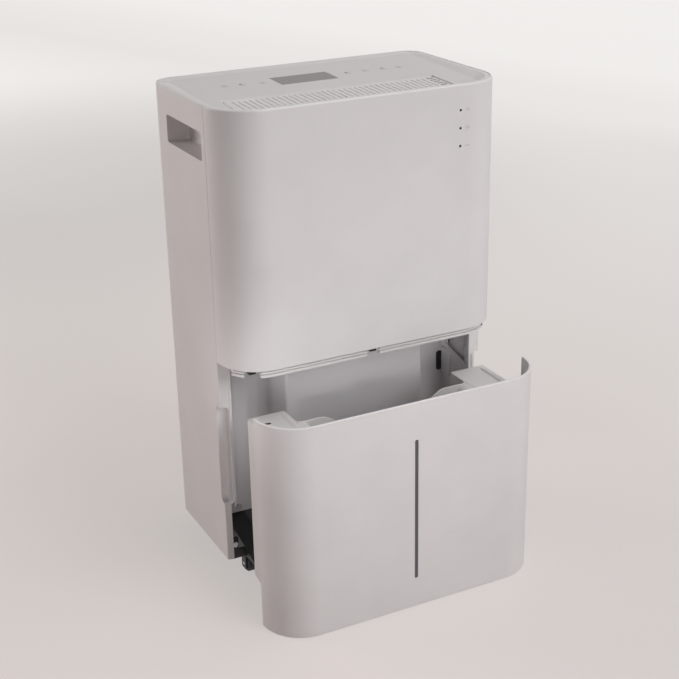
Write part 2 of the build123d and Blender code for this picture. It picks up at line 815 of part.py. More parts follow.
# Coils: finned blocks with end plates and return bends
bend_pitch = coil_height / bend_count
fin_pitch = 2 * coil_half / (fin_count + 1)
for name, y, depth in (("condenser", condenser_y, condenser_depth),
                       ("evaporator", evaporator_y, evaporator_depth)):
    y0 = front_y + y - depth / 2
    y1 = front_y + y + depth / 2
    with BuildPart() as coil:
        block(-coil_half, coil_half, y0, y1, tray_top, tray_top + coil_height)
        with BuildSketch(Plane.XY.offset(tray_top + coil_plate_lap)):
            with Locations((0, front_y + y)):
                with GridLocations(fin_pitch, depth, fin_count, 2):
                    Rectangle(fin_groove, depth - coil_core)
        extrude(amount=coil_height, mode=Mode.SUBTRACT)
        for side in (-1, 1):
            block(side * coil_half, side * (coil_half + coil_plate), y0 - coil_plate_lap, y1 + coil_plate_lap,
                  tray_top, tray_top + coil_height)
            for i in range(bend_count):
                z = tray_top + (i + 0.5) * bend_pitch
                with Locations(Location((side * coil_half, front_y + y, z), (90, 0, 0))):
                    Torus(bend_radius, bend_tube)
    save(coil, name)

# Compressor on rubber grommets, with its accumulator
accumulator_y = front_y + evaporator_y
accumulator_gap = can_radius + accumulator_radius + fit_gap
accumulator_x = compressor_x + math.sqrt(accumulator_gap ** 2 - (evaporator_y - condenser_y) ** 2)
with BuildPart() as compressor:
    post(compressor_x, compressor_y, can_bottom, can_top, can_radius)
    fillet(compressor.edges().group_by(Axis.Z)[-1], can_dome)
    post(compressor_x, compressor_y, can_bottom - can_plate, can_bottom, can_plate_radius)
    post(compressor_x, compressor_y, can_bottom + can_wall, can_top - can_wall, can_radius - can_wall,
         Mode.SUBTRACT)
    post(compressor_x, compressor_y, can_bottom - can_plate, can_bottom + can_wall, can_drain, Mode.SUBTRACT)
    with Locations((compressor_x, compressor_y, can_bottom - can_plate / 2)):
        with PolarLocations(grommet_circle, 3, 90):
            Cylinder(axle_radius, 2 * can_plate, mode=Mode.SUBTRACT)
save(compressor, "compressor")

with BuildPart() as compressor_feet:
    with Locations((compressor_x, compressor_y, base_top + grommet_height / 2)):
        with PolarLocations(grommet_circle, 3, 90):
            Cylinder(grommet_radius, grommet_height)
save(compressor_feet, "compressor_feet")

accumulator_top = accumulator_bottom + accumulator_height
with BuildPart() as accumulator:
    post(accumulator_x, accumulator_y, accumulator_bottom, accumulator_top, accumulator_radius)
    fillet(accumulator.edges().filter_by(GeomType.CIRCLE), accumulator_dome)
save(accumulator, "accumulator")

port_x = coil_half + coil_plate
port = tray_top + port_row * bend_pitch
for name, x, y, z, rise in (("suction_pipe", accumulator_x, accumulator_y, accumulator_top, suction_rise),
                            ("discharge_pipe", compressor_x, compressor_y, can_top, discharge_rise)):
    with BuildPart() as pipe:
        with BuildLine() as pipe_line:
            FilletPolyline((x, y, z), (x, y, z + rise), (pipe_x, y, z + rise), (pipe_x, y, port),
                           (port_x, y, port), radius=[pipe_bend, pipe_bend, pipe_x - port_x - pipe_radius])
        with BuildSketch(Plane.XY.offset(z)):
            with Locations((x, y)):
                Circle(pipe_radius)
        sweep(path=pipe_line.line)
    save(pipe, name)

# Fan scroll: a round casing that opens into a flared neck under the outlet
neck_top = deck_bottom - fit_gap - deck_skin


def scroll_profile(inset):
    with BuildSketch() as profile:
        with Locations((0, fan_z)):
            Circle(scroll_radius)
        with Locations(((scroll_right - scroll_left) / 2, neck_top - scroll_neck / 2)):
            Rectangle(scroll_left + scroll_right, scroll_neck)
        with Locations((0, tray_top + scroll_foot_height / 2)):
            Rectangle(2 * scroll_foot, scroll_foot_height)
        make_hull()
        offset(amount=-inset, mode=Mode.REPLACE)
    return profile.sketch


with BuildPart() as fan_scroll:
    with BuildSketch(Plane.XZ.offset(-scroll_back)):
        add(scroll_profile(0))
    extrude(amount=scroll_depth)
    with BuildSketch(Plane.XZ.offset(-scroll_back + scroll_wall)):
        add(scroll_profile(scroll_wall))
    extrude(amount=scroll_depth - 2 * scroll_wall, mode=Mode.SUBTRACT)
    block(scroll_wall - scroll_left, scroll_right - scroll_wall, scroll_y + scroll_wall,
          scroll_back - scroll_wall, neck_top - scroll_neck, neck_top + through, Mode.SUBTRACT)
    rod(0, fan_z, scroll_back - scroll_wall - through, scroll_back + through, inlet_radius, Mode.SUBTRACT)
save(fan_scroll, "fan_scroll")

motor_y = scroll_y + scroll_wall
with BuildPart() as fan_motor:
    rod(0, fan_z, motor_y, motor_y + motor_length, motor_radius)
    fillet(fan_motor.edges().group_by(Axis.Y)[-1], wheel_edge)
    rod(0, fan_z, motor_y, motor_y + motor_length + through, shaft_radius + running_gap, Mode.SUBTRACT)
save(fan_motor, "fan_motor")

hub_end = dish_end + hub_length
with BuildPart() as fan_wheel:
    rod(0, fan_z, fan_y, fan_y + fan_plate, fan_radius)
    rod(0, fan_z, fan_y, dish_end, dish_radius)
    rod(0, fan_z, fan_y, dish_end - fan_plate, dish_radius - fan_plate, Mode.SUBTRACT)
    with Locations(Location((0, (fan_y + fan_end) / 2, fan_z), (90, 0, 0))):
        with PolarLocations((blade_inner + fan_radius) / 2 - fan_plate, blade_count):
            Box(fan_radius - blade_inner - fan_plate, blade_thick, fan_length, rotation=(0, 0, blade_angle))
    with BuildSketch(Plane.XZ.offset(-fan_end)):
        with Locations((0, fan_z)):
            Circle(fan_radius)
            Circle(blade_inner, mode=Mode.SUBTRACT)
    extrude(amount=fan_plate)
    rod(0, fan_z, dish_end, hub_end, hub_radius)
    rod(0, fan_z, dish_end - through, hub_end + through, shaft_radius, Mode.SUBTRACT)
save(fan_wheel, "fan_wheel")

with BuildPart() as fan_shaft:
    rod(0, fan_z, front_y + shaft_start, hub_end + nut_length, shaft_radius)
save(fan_shaft, "fan_shaft")

with BuildPart() as fan_nut:
    with BuildSketch(Plane.XZ.offset(-hub_end - nut_length)):
        with Locations((0, fan_z)):
            RegularPolygon(nut_radius, 6)
            Circle(shaft_radius, mode=Mode.SUBTRACT)
    extrude(amount=nut_length)
save(fan_nut, "fan_nut")

# Mains board and capacitor on the base pan
with BuildPart() as mains_board:
    block(mains_board_x - board_thick, mains_board_x, front_y + mains_board_front, front_y + mains_board_back,
          base_top, base_top + mains_board_height)
save(mains_board, "mains_board")

with BuildPart() as capacitor:
    post(capacitor_x, front_y + capacitor_y, base_top, base_top + capacitor_height, capacitor_radius)
    fillet(capacitor.edges().group_by(Axis.Z)[-1], wheel_edge)
save(capacitor, "capacitor")

# Bucket cover: the lower front of the cabinet, with the slit for the level window
with BuildPart() as bucket_cover:
    with BuildSketch():
        add(outline(0, bucket_y))
        add(outline(wall, bucket_y), mode=Mode.SUBTRACT)
        clip(bucket_y, bucket_y + side_seam - cover_gap)
    extrude(amount=cover_height)
    block(-slit_width / 2, slit_width / 2, bucket_y - through, bucket_y + wall + through,
          slit_bottom, slit_top, Mode.SUBTRACT)
save(bucket_cover, "bucket_cover")

with BuildPart() as level_window:
    block(running_gap - slit_width / 2, slit_width / 2 - running_gap, bucket_y + seam_gap, bucket_y + wall,
          slit_bottom + running_gap, slit_top - running_gap)
save(level_window, "level_window")

# Tub: open in the middle, with a covered ear at each side and a floor that slopes like the rails
runner_plane = Plane(origin=(0, liner_back - bucket_pull, rail_height(liner_back) + runner_gap - bucket_lift),
                     x_dir=(1, 0, 0), z_dir=(0, -slope, 1))
tub_middle = bucket_y + tub_middle_depth
with BuildSketch() as tub_plan:
    add(outline(inside, bucket_y))
    clip(bucket_y, tub_middle, tub_half)
    for side in (-1, 1):
        with Locations((side * (ear_inner + tub_half) / 2, bucket_y + (front_corner + tub_depth) / 2)):
            Rectangle(tub_half - ear_inner, tub_depth - front_corner)
with BuildPart() as tub_inside:
    with BuildSketch():
        add(tub_plan.sketch)
        offset(amount=-tub_wall, mode=Mode.REPLACE)
    extrude(amount=ear_top - ear_cap)
    split(bisect_by=runner_plane.offset(tub_wall), keep=Keep.TOP)
open_half = ear_inner - tub_wall
foot_y = tub_middle - tub_wall - tub_foot_depth
pivot_y = bucket_y + float_pivot_depth
pivot_z = ear_top - float_pivot_drop
bracket_x = float_half + bracket_gap
bracket_end = bracket_x + bracket_thick
with BuildPart() as bucket_tub:
    with BuildSketch():
        add(tub_plan.sketch)
    extrude(amount=ear_top)
    split(bisect_by=runner_plane, keep=Keep.TOP)
    add(tub_inside.part, mode=Mode.SUBTRACT)
    block(-open_half, open_half, bucket_y + inside + tub_wall, tub_middle - tub_wall,
          ear_top - ear_cap - through, ear_top + through, Mode.SUBTRACT)
    with BuildSketch(Plane.XZ.offset(-tub_middle - through)):
        with BuildLine():
            half_way = ((rim_flat_half + rim_high_half) / 2, (tub_rim + ear_top) / 2)
            Polyline((0, ear_top + through), (0, tub_rim), (rim_flat_half, tub_rim))
            TangentArc((rim_flat_half, tub_rim), half_way, tangent=(1, 0))
            TangentArc((rim_high_half, ear_top), half_way, tangent=(-1, 0))
            Polyline((rim_high_half, ear_top), (rim_high_half, ear_top + through), (0, ear_top + through))
        make_face()
        mirror(about=Plane.YZ)
    extrude(amount=tub_middle_depth + 2 * through, mode=Mode.SUBTRACT)
    for x in (-tub_foot_x, tub_foot_x):
        with BuildSketch(Plane.YZ.offset(x - tub_foot_width / 2)):
            with BuildLine():
                foot_back = foot_y + tub_foot_depth
                Polyline((foot_y, 0), (foot_back, 0),
                         (foot_back, rail_height(foot_back + bucket_pull) + runner_gap - bucket_lift),
                         (foot_y, rail_height(foot_y + bucket_pull) + runner_gap - bucket_lift), close=True)
            make_face()
        extrude(amount=tub_foot_width)
    for side in (-1, 1):
        block(float_x + side * bracket_x, float_x + side * bracket_end, pivot_y - bracket_half,
              pivot_y + bracket_half, pivot_z - bracket_half, ear_top - ear_cap)
    cross_rod(float_x - bracket_end - through / 2, float_x + bracket_end + through / 2,
              pivot_y, pivot_z, float_pin + running_gap, Mode.SUBTRACT)
save(bucket_tub, "bucket_tub")

# Float: a hollow box on an arm, hung on a pin between the brackets of the ear
float_back = pivot_y - float_offset
float_top = pivot_z - float_sag + float_height / 2
with BuildPart() as level_float:
    block(float_x - float_half, float_x + float_half, float_back - float_length, float_back,
          float_top - float_height, float_top)
    fillet(level_float.edges().filter_by(Axis.X), wheel_edge)
    block(float_x - float_arm / 2, float_x + float_arm / 2, float_back - float_offset, pivot_y,
          pivot_z - float_arm, pivot_z)
    cross_rod(float_x - float_half, float_x + float_half, pivot_y, pivot_z, float_arm / 2 + running_gap)
    cross_rod(float_x - bracket_end, float_x + bracket_end, pivot_y, pivot_z, float_pin)
save(level_float, "level_float")
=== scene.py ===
import json
import math

import bmesh
import bpy
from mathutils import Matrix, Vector


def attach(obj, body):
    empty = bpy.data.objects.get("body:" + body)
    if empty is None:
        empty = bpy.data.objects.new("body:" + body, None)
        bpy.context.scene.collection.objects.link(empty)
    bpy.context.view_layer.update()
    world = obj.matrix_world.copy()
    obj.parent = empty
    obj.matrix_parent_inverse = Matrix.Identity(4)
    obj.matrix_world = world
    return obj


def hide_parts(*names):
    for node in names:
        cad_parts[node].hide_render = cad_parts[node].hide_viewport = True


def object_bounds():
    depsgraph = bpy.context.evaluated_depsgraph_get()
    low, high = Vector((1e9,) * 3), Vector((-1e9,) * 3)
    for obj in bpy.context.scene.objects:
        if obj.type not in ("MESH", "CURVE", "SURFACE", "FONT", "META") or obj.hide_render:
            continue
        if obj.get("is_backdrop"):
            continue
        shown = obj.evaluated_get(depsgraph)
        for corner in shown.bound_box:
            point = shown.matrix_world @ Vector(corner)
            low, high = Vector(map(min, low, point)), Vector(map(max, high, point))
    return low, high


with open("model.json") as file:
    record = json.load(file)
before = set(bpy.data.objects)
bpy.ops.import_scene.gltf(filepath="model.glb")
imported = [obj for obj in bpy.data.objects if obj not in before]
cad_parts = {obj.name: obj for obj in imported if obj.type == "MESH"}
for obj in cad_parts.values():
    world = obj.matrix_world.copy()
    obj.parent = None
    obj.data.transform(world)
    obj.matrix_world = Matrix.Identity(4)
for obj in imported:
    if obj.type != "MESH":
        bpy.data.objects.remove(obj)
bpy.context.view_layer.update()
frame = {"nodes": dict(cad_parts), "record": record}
cadNodes = frame["nodes"]
print("frame loaded:", len(cadNodes), "nodes")

# sizes are in millimetres; less than touch counts as on a line, more than straight as along an axis
mm = 0.001
touch = 0.1
straight = 0.9
hands = ((-1, "left"), (1, "right"))


# ways of working, as by hand in the viewport

def dropSelection():
    if bpy.context.mode != "OBJECT":
        bpy.ops.object.mode_set(mode="OBJECT")
    bpy.ops.object.select_all(action="DESELECT")


def makeActive(piece):
    dropSelection()
    piece.select_set(True)
    bpy.context.view_layer.objects.active = piece


def openEdit(piece, kind):
    makeActive(piece)
    bpy.ops.object.mode_set(mode="EDIT")
    bpy.ops.mesh.select_mode(type=kind)
    bpy.ops.mesh.select_all(action="DESELECT")


def closeEdit():
    bpy.ops.object.mode_set(mode="OBJECT")


def pick(piece, kind, test):
    bpy.ops.mesh.select_all(action="DESELECT")
    mesh = bmesh.from_edit_mesh(piece.data)
    group = {"VERT": mesh.verts, "EDGE": mesh.edges, "FACE": mesh.faces}[kind]
    for part in group:
        if test(part):
            part.select_set(True)
    bmesh.update_edit_mesh(piece.data)


def middle(edge):
    return (edge.verts[0].co + edge.verts[1].co) / 2 / mm


def runs(edge, axis):
    way = (edge.verts[1].co - edge.verts[0].co).normalized()
    return abs(getattr(way, axis)) > straight


def facesUp(face):
    return face.normal.z > straight


def onLine(vert, line):
    return abs(vert.co.y / mm - line) < touch


def setHeights(piece, heightOf, test):
    mesh = bmesh.from_edit_mesh(piece.data)
    for vert in mesh.verts:
        if test(vert):
            vert.co.z = heightOf(vert)
    bmesh.update_edit_mesh(piece.data)


def modify(piece, kind, **settings):
    step = piece.modifiers.new(kind.lower(), kind)
    for key, value in settings.items():
        setattr(step, key, value)
    makeActive(piece)
    bpy.ops.object.modifier_apply(modifier=step.name)


def cutAway(piece, *cutters):
    for cutter in cutters:
        modify(piece, "BOOLEAN", operation="DIFFERENCE", object=cutter, solver="EXACT")
        bpy.data.objects.remove(cutter)


def fuse(piece, *others):
    for other in others:
        modify(piece, "BOOLEAN", operation="UNION", object=other, solver="EXACT")
        bpy.data.objects.remove(other)


def joinUp(name, pieces):
    dropSelection()
    for piece in pieces:
        piece.select_set(True)
    bpy.context.view_layer.objects.active = pieces[0]
    bpy.ops.object.join()
    pieces[0].name = name
    return pieces[0]


def smoothOff(piece, angle=40):
    makeActive(piece)
    bpy.ops.object.shade_smooth_by_angle(angle=math.radians(angle))
    modify(piece, "WEIGHTED_NORMAL", keep_sharp=True)


def soften(piece, width, steps=3, angle=35):
    modify(piece, "BEVEL", width=width * mm, segments=steps, limit_method="ANGLE",
           angle_limit=math.radians(angle), miter_outer="MITER_ARC")
    smoothOff(piece)


def fixPlace(piece, name):
    bpy.ops.object.transform_apply(location=True, rotation=True, scale=True)
    piece.name = name
    return piece


def addBlock(name, low, high):
    dropSelection()
    bpy.ops.mesh.primitive_cube_add(size=1, location=[(a + b) / 2 * mm for a, b in zip(low, high)])
    piece = bpy.context.object
    piece.scale = [abs(b - a) * mm for a, b in zip(low, high)]
    return fixPlace(piece, name)


def addRod(name, centre, radius, length, axis="Y", sides=48):
    dropSelection()
    turn = {"Y": (math.pi / 2, 0, 0), "Z": (0, 0, 0)}[axis]
    bpy.ops.mesh.primitive_cylinder_add(vertices=sides, radius=radius * mm, depth=length * mm,
                                        location=[c * mm for c in centre], rotation=turn)
    return fixPlace(bpy.context.object, name)


def addRing(name, centre, radius, thick, turn):
    dropSelection()
    bpy.ops.mesh.primitive_torus_add(major_radius=radius * mm, minor_radius=thick * mm, major_segments=32,
                                     minor_segments=6, location=[c * mm for c in centre], rotation=turn)
    return fixPlace(bpy.context.object, name)


def roundEdges(piece, radius, steps, test):
    openEdit(piece, "EDGE")
    pick(piece, "EDGE", test)
    bpy.ops.mesh.bevel(offset=radius * mm, segments=steps, affect="EDGES")
    closeEdit()


def roundCorners(piece, radius, steps, test):
    openEdit(piece, "VERT")
    pick(piece, "VERT", test)
    bpy.ops.mesh.bevel(offset=radius * mm, segments=steps, affect="VERTICES")
    closeEdit()


def roundedFace(name, half, front, rear, height, frontRadius, rearRadius, steps=20):
    dropSelection()
    bpy.ops.mesh.primitive_plane_add(size=1, location=(0, (front + rear) / 2 * mm, height * mm))
    piece = bpy.context.object
    piece.scale = (2 * half * mm, (rear - front) * mm, 1)
    fixPlace(piece, name)
    for line, radius in ((front, frontRadius), (rear, rearRadius)):
        roundCorners(piece, radius, steps, lambda v: onLine(v, line))
    return piece


def pullOut(piece, x=0, y=0, z=0):
    openEdit(piece, "FACE")
    bpy.ops.mesh.select_all(action="SELECT")
    bpy.ops.mesh.extrude_region_move(TRANSFORM_OT_translate={"value": (x * mm, y * mm, z * mm)})
    bpy.ops.mesh.select_all(action="SELECT")
    bpy.ops.mesh.normals_make_consistent(inside=False)
    closeEdit()


def bandWall(name, half, front, rear, low, high, radii, wall, cutLine, keepFront):
    piece = roundedFace(name, half, front, rear, low, *radii)
    pullOut(piece, z=high - low)
    openEdit(piece, "FACE")
    pick(piece, "FACE", lambda f: abs(f.normal.z) > straight)
    bpy.ops.mesh.delete(type="ONLY_FACE")
    bpy.ops.mesh.select_all(action="SELECT")
    bpy.ops.mesh.bisect(plane_co=(0, cutLine * mm, 0), plane_no=(0, 1, 0),
                        clear_outer=keepFront, clear_inner=not keepFront)
    closeEdit()
    modify(piece, "SOLIDIFY", thickness=wall * mm, offset=-1, use_even_offset=True)
    return piece


def tracePlan(name, points, fill):
    dropSelection()
    bpy.ops.mesh.primitive_plane_add(size=mm, location=[c * mm for c in points[0]])
    piece = fixPlace(bpy.context.object, name)
    openEdit(piece, "VERT")
    bpy.ops.mesh.select_all(action="SELECT")
    bpy.ops.mesh.merge(type="CENTER")
    for start, end in zip(points, points[1:]):
        step = [(b - a) * mm for a, b in zip(start, end)]
        bpy.ops.mesh.extrude_vertices_move(TRANSFORM_OT_translate={"value": step})
    if fill:
        bpy.ops.mesh.select_all(action="SELECT")
        bpy.ops.mesh.edge_face_add()
    closeEdit()
    return piece


# finishes: a slow drift of tone and roughness, and a fine grain in relief
weave = {"cloudDetail": 5, "cloudBand": (0.3, 0.7), "sandDetail": 2, "roughSway": 0.07, "roughLeast": 0.02,
         "reliefDeep": 0.0004}


def finish(name, tone, rough, grain=0.08, pebble=1400.0, drift=0.025, metal=0.0, coat=0.0, patch=16.0,
           gloss=0.5):
    made = bpy.data.materials.new(name)
    made.use_nodes = True
    tree = made.node_tree
    shader = tree.nodes["Principled BSDF"]
    shader.inputs["Metallic"].default_value = metal
    shader.inputs["Coat Weight"].default_value = coat
    shader.inputs["Specular IOR Level"].default_value = gloss
    place = tree.nodes.new("ShaderNodeTexCoord")
    cloud = tree.nodes.new("ShaderNodeTexNoise")
    cloud.inputs["Scale"].default_value = patch
    cloud.inputs["Detail"].default_value = weave["cloudDetail"]
    ramp = tree.nodes.new("ShaderNodeValToRGB")
    dark, light = ramp.color_ramp.elements
    dark.position, light.position = weave["cloudBand"]
    dark.color = (*[c * (1 - drift) for c in tone], 1)
    light.color = (*[min(1, c * (1 + drift)) for c in tone], 1)
    sand = tree.nodes.new("ShaderNodeTexNoise")
    sand.inputs["Scale"].default_value = pebble
    sand.inputs["Detail"].default_value = weave["sandDetail"]
    spread = tree.nodes.new("ShaderNodeMapRange")
    spread.inputs["To Min"].default_value = max(weave["roughLeast"], rough - weave["roughSway"])
    spread.inputs["To Max"].default_value = rough + weave["roughSway"]
    relief = tree.nodes.new("ShaderNodeBump")
    relief.inputs["Strength"].default_value = grain
    relief.inputs["Distance"].default_value = weave["reliefDeep"]
    join = tree.links.new
    join(place.outputs["Object"], cloud.inputs["Vector"])
    join(place.outputs["Object"], sand.inputs["Vector"])
    join(cloud.outputs[0], ramp.inputs["Fac"])
    join(ramp.outputs["Color"], shader.inputs["Base Color"])
    join(cloud.outputs[0], spread.inputs["Value"])
    join(spread.outputs["Result"], shader.inputs["Roughness"])
    join(sand.outputs[0], relief.inputs["Height"])
    join(relief.outputs["Normal"], shader.inputs["Normal"])
    return made


finishes = {
    "body_white": finish("satinWhite", (0.745, 0.73, 0.728), 0.43, 0.09),
    "cup_white": finish("cupWhite", (0.73, 0.71, 0.705), 0.46, 0.10),
    "tub_white": finish("tubWhite", (0.745, 0.73, 0.72), 0.38, 0.06),
    "liner_grey": finish("bayGrey", (0.66, 0.645, 0.655), 0.46, 0.12),
    "base_black": finish("baseBlack", (0.013, 0.013, 0.015), 0.45, 0.25, 900),
    "window_smoke": finish("smokeWindow", (0.085, 0.085, 0.09), 0.16, 0.01, coat=0.4),
    "display_dark": finish("displayGlass", (0.285, 0.264, 0.262), 0.36, 0.01, gloss=0.1),
    "lamp_dark": finish("lampDark", (0.012, 0.012, 0.014), 0.2, 0.01, coat=0.4),
    "steel": finish("platedSteel", (0.78, 0.78, 0.79), 0.34, 0.12, 500, 0.08, metal=1.0, patch=300),
    "motor_steel": finish("motorGrey", (0.12, 0.125, 0.13), 0.4, 0.1, 700),
    "rubber_black": finish("rubberBlack", (0.018, 0.018, 0.018), 0.68, 0.25, 1100, 0.08),
    "bumper_grey": finish("bumperGrey", (0.50, 0.49, 0.48), 0.55, 0.15, 1000),
    "tube_rubber": finish("tubeRubber", (0.30, 0.30, 0.31), 0.5, 0.1),
    "wheel_black": finish("wheelBlack", (0.020, 0.020, 0.022), 0.5, 0.2, 800, 0.1),
    "copper": finish("copperPipe", (0.72, 0.34, 0.20), 0.28, 0.1, 600, 0.10, metal=1.0, patch=90),
    "coil_aluminium": finish("finAluminium", (0.70, 0.71, 0.72), 0.35, 0.1, 700, 0.06, metal=1.0),
    "compressor_black": finish("compressorBlack", (0.013, 0.013, 0.015), 0.32, 0.12, 500),
    "board_green": finish("boardGreen", (0.01, 0.085, 0.03), 0.35, 0.08, 900, 0.12),
    "fan_white": finish("fanWhite", (0.60, 0.60, 0.59), 0.5, 0.1),
    "net_grey": finish("netGrey", (0.085, 0.09, 0.095), 0.7, 0.3, 2200, 0.12),
}
# finishes that no CAD slot names
accents = {
    # a darker tone than the body white, for the deck's inner faces
    "deck": finish("deckDarkerTone", (0.695, 0.682, 0.68), 0.48, 0.10),
    "mark": finish("markInk", (0.16, 0.155, 0.15), 0.5, 0.02, 1500, 0.08),
    "pale": finish("paleInk", (0.36, 0.35, 0.345), 0.5, 0.02, 1500, 0.06),
    # gapShade: near-black painted shade for the comb's open gaps
    "gap": finish("gapShade", (0.03, 0.028, 0.027), 0.7, 0.05),
}

slotOf = {row["node"]: row["material_slot"] for row in frame["record"]["subparts"]}
for name, node in cadNodes.items():
    node.data.materials.clear()
    node.data.materials.append(finishes[slotOf[name]])
print("finishes:", len(finishes) + len(accents))


def settle(piece, body, slotName, replaced=(), material=None):
    piece.data.name = piece.name
    piece.data.materials.clear()
    piece.data.materials.append(material or finishes[slotName])
    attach(piece, body)
    if replaced:
        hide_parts(*replaced)


# the cabinet, its bucket bay and its deck, which several pieces share
cabinet = {"half": 175, "front": -60, "rear": 156, "top": 586, "bottom": 34, "seam": -7, "seamGap": 0.6,
           "corners": (50, 25), "wall": 2.5, "panelBottom": 292, "slack": 0.3}
bay = {"half": 160.5, "pocket": 55, "block": 20, "left": 94, "leftFront": 78, "right": 108.5, "low": 58,
       "high": 294.8, "wall": 2, "pocketBend": 9, "blockBend": 3, "rightBend": 1.2, "edge": 0.5,
       "notchX": (158, 166), "notchY": (-12, 16), "notchZ": (50, 104)}
deck = {"rear": 144, "rim": 585.5, "height": 584.6, "fall": 0.036}
panelEnd = cabinet["seam"] - cabinet["seamGap"]


def deckHeight(y):
    return deck["height"] + deck["fall"] * (y - deck["rear"])


def insetCorners(inset):
    return [radius - inset for radius in cabinet["corners"]]


def onSkin(edge, front, rear):
    spot = middle(edge)
    for line, radius, way in ((front, cabinet["corners"][0], -1), (rear, cabinet["corners"][1], 1)):
        ahead = (spot.y - line) * way + radius
        if ahead > 0:
            across = max(abs(spot.x) - cabinet["half"] + radius, 0)
            return math.hypot(across, ahead) > radius - cabinet["slack"]
    return abs(spot.x) > cabinet["half"] - cabinet["slack"]


def weighEdges(piece, weight, test):
    openEdit(piece, "EDGE")
    pick(piece, "EDGE", test)
    bpy.ops.transform.edge_bevelweight(value=weight)
    closeEdit()


# one bevel rounds the upper rim, the lower rim and the two ends at the cut, each by its own radius
def roundRim(piece, front, rear, high, low, cut, topRadius, lowRadius, endRadius):
    weighEdges(piece, 1, lambda e: middle(e).z > high - touch and onSkin(e, front, rear))
    weighEdges(piece, lowRadius / topRadius, lambda e: middle(e).z < low + touch and onSkin(e, front, rear))
    weighEdges(piece, endRadius / topRadius,
               lambda e: runs(e, "z") and abs(middle(e).y - cut) < touch and onSkin(e, front, rear))
    modify(piece, "BEVEL", width=topRadius * mm, segments=5, limit_method="WEIGHT")
    smoothOff(piece)


# front panel with its lamps
panel = {"rim": 2.1, "edge": 1.15, "end": 0.5, "lampX": 111, "lampRows": (557, 536.6, 516.2), "lampRadius": 1.6,
         "lampPlay": 0.05, "lampBack": 2.9, "lampLong": 6, "lampEdge": 0.5, "lampSides": 32, "lampAngle": 50,
         "holeDeep": 12}
frontPanel = bandWall("front_panel_skin", cabinet["half"], cabinet["front"], cabinet["rear"],
                      cabinet["panelBottom"], cabinet["top"], cabinet["corners"], cabinet["wall"], panelEnd, True)
roundRim(frontPanel, cabinet["front"], cabinet["rear"], cabinet["top"], cabinet["panelBottom"], panelEnd,
         panel["rim"], panel["edge"], panel["end"])
cutAway(frontPanel, *[addRod("lampHole", (panel["lampX"], cabinet["front"], z), panel["lampRadius"],
                             panel["holeDeep"], sides=panel["lampSides"]) for z in panel["lampRows"]])
smoothOff(frontPanel)
settle(frontPanel, "housing", "body_white", ["front_panel"])

lamps = []
for z in panel["lampRows"]:
    lamp = addRod("lamp", (panel["lampX"], cabinet["front"] + panel["lampBack"], z),
                  panel["lampRadius"] - panel["lampPlay"], panel["lampLong"], sides=panel["lampSides"])
    roundEdges(lamp, panel["lampEdge"], 3, lambda e: middle(e).y < cabinet["front"] + touch)
    lamps.append(lamp)
lampSet = joinUp("lamp_lenses", lamps)
smoothOff(lampSet, panel["lampAngle"])
settle(lampSet, "housing", "lamp_dark", ["indicator_lenses"])

# plain signs beside the lamps: a dash each, in a ring on the upper two
signs = {"x": 120.2, "rings": (1.82, 2.6), "ringThick": 0.28, "ringDeep": 0.22, "dashes": (0.52, 1.82, 3.12),
         "dashHigh": 0.3, "dashDeep": 0.3, "proud": 0.05}
signParts = []
for row, z in enumerate(panel["lampRows"]):
    x, y, half = signs["x"], cabinet["front"], signs["dashes"][row]
    if row < len(signs["rings"]):
        signParts.append(addRing("sign", (x, y + signs["ringDeep"], z), signs["rings"][row], signs["ringThick"],
                                 (math.pi / 2, 0, 0)))
    signParts.append(addBlock("sign", (x - half, y - signs["proud"], z - signs["dashHigh"]),
                              (x + half, y + signs["dashDeep"], z + signs["dashHigh"])))
settle(joinUp("lamp_signs", signParts), "housing", "body_white", (), accents["pale"])
print("front panel done")

# back and sides in one skin, with the windows of grips, scoops, filter, drain, cord and screws
shell = {"rim": 2.1, "edge": 0.8, "end": 0.5, "gripX": (160, 190), "gripY": (2, 107), "gripZ": (523, 555),
         "gripCorner": 3.5, "filterHalf": 130.3, "filterY": (140, 170), "filterZ": (329.7, 540.3),
         "drain": (-100, 130, 22), "gland": (110, 80, 8), "screwX": 138, "screwZ": (45.5, 581), "screwHead": 3.3,
         "holeY": 155, "holeDeep": 12}
scoop = {"x": (164, 180), "y": (-20, 3), "z": (110, 235), "corner": 9, "lip": 5}


def scoopCutter(side):
    cutter = addBlock("scoopCutter", (side * scoop["x"][0], scoop["y"][0], scoop["z"][0]),
                      (side * scoop["x"][1], scoop["y"][1], scoop["z"][1]))
    roundEdges(cutter, scoop["corner"], 8, lambda e: runs(e, "x") and middle(e).z < scoop["z"][0] + touch
               and middle(e).y > scoop["y"][1] - touch)
    roundEdges(cutter, scoop["lip"], 6, lambda e: abs(middle(e).x) < scoop["x"][0] + touch)
    return cutter


rearShell = bandWall("rear_shell_skin", cabinet["half"], cabinet["front"], cabinet["rear"], cabinet["bottom"],
                     cabinet["top"], cabinet["corners"], cabinet["wall"], cabinet["seam"], False)
roundRim(rearShell, cabinet["front"], cabinet["rear"], cabinet["top"], cabinet["bottom"], cabinet["seam"],
         shell["rim"], shell["edge"], shell["end"])
for side in (-1, 1):
    window = addBlock("gripWindow", (side * shell["gripX"][0], shell["gripY"][0], shell["gripZ"][0]),
                      (side * shell["gripX"][1], shell["gripY"][1], shell["gripZ"][1]))
    roundEdges(window, shell["gripCorner"], 5, lambda e: runs(e, "x"))
    cutAway(rearShell, window, scoopCutter(side))
backHoles = [addBlock("filterWindow", (-shell["filterHalf"], shell["filterY"][0], shell["filterZ"][0]),
                      (shell["filterHalf"], shell["filterY"][1], shell["filterZ"][1]))]
for x, z, radius in (shell["drain"], shell["gland"]):
    backHoles.append(addRod("roundHole", (x, shell["holeY"], z), radius, shell["holeDeep"]))
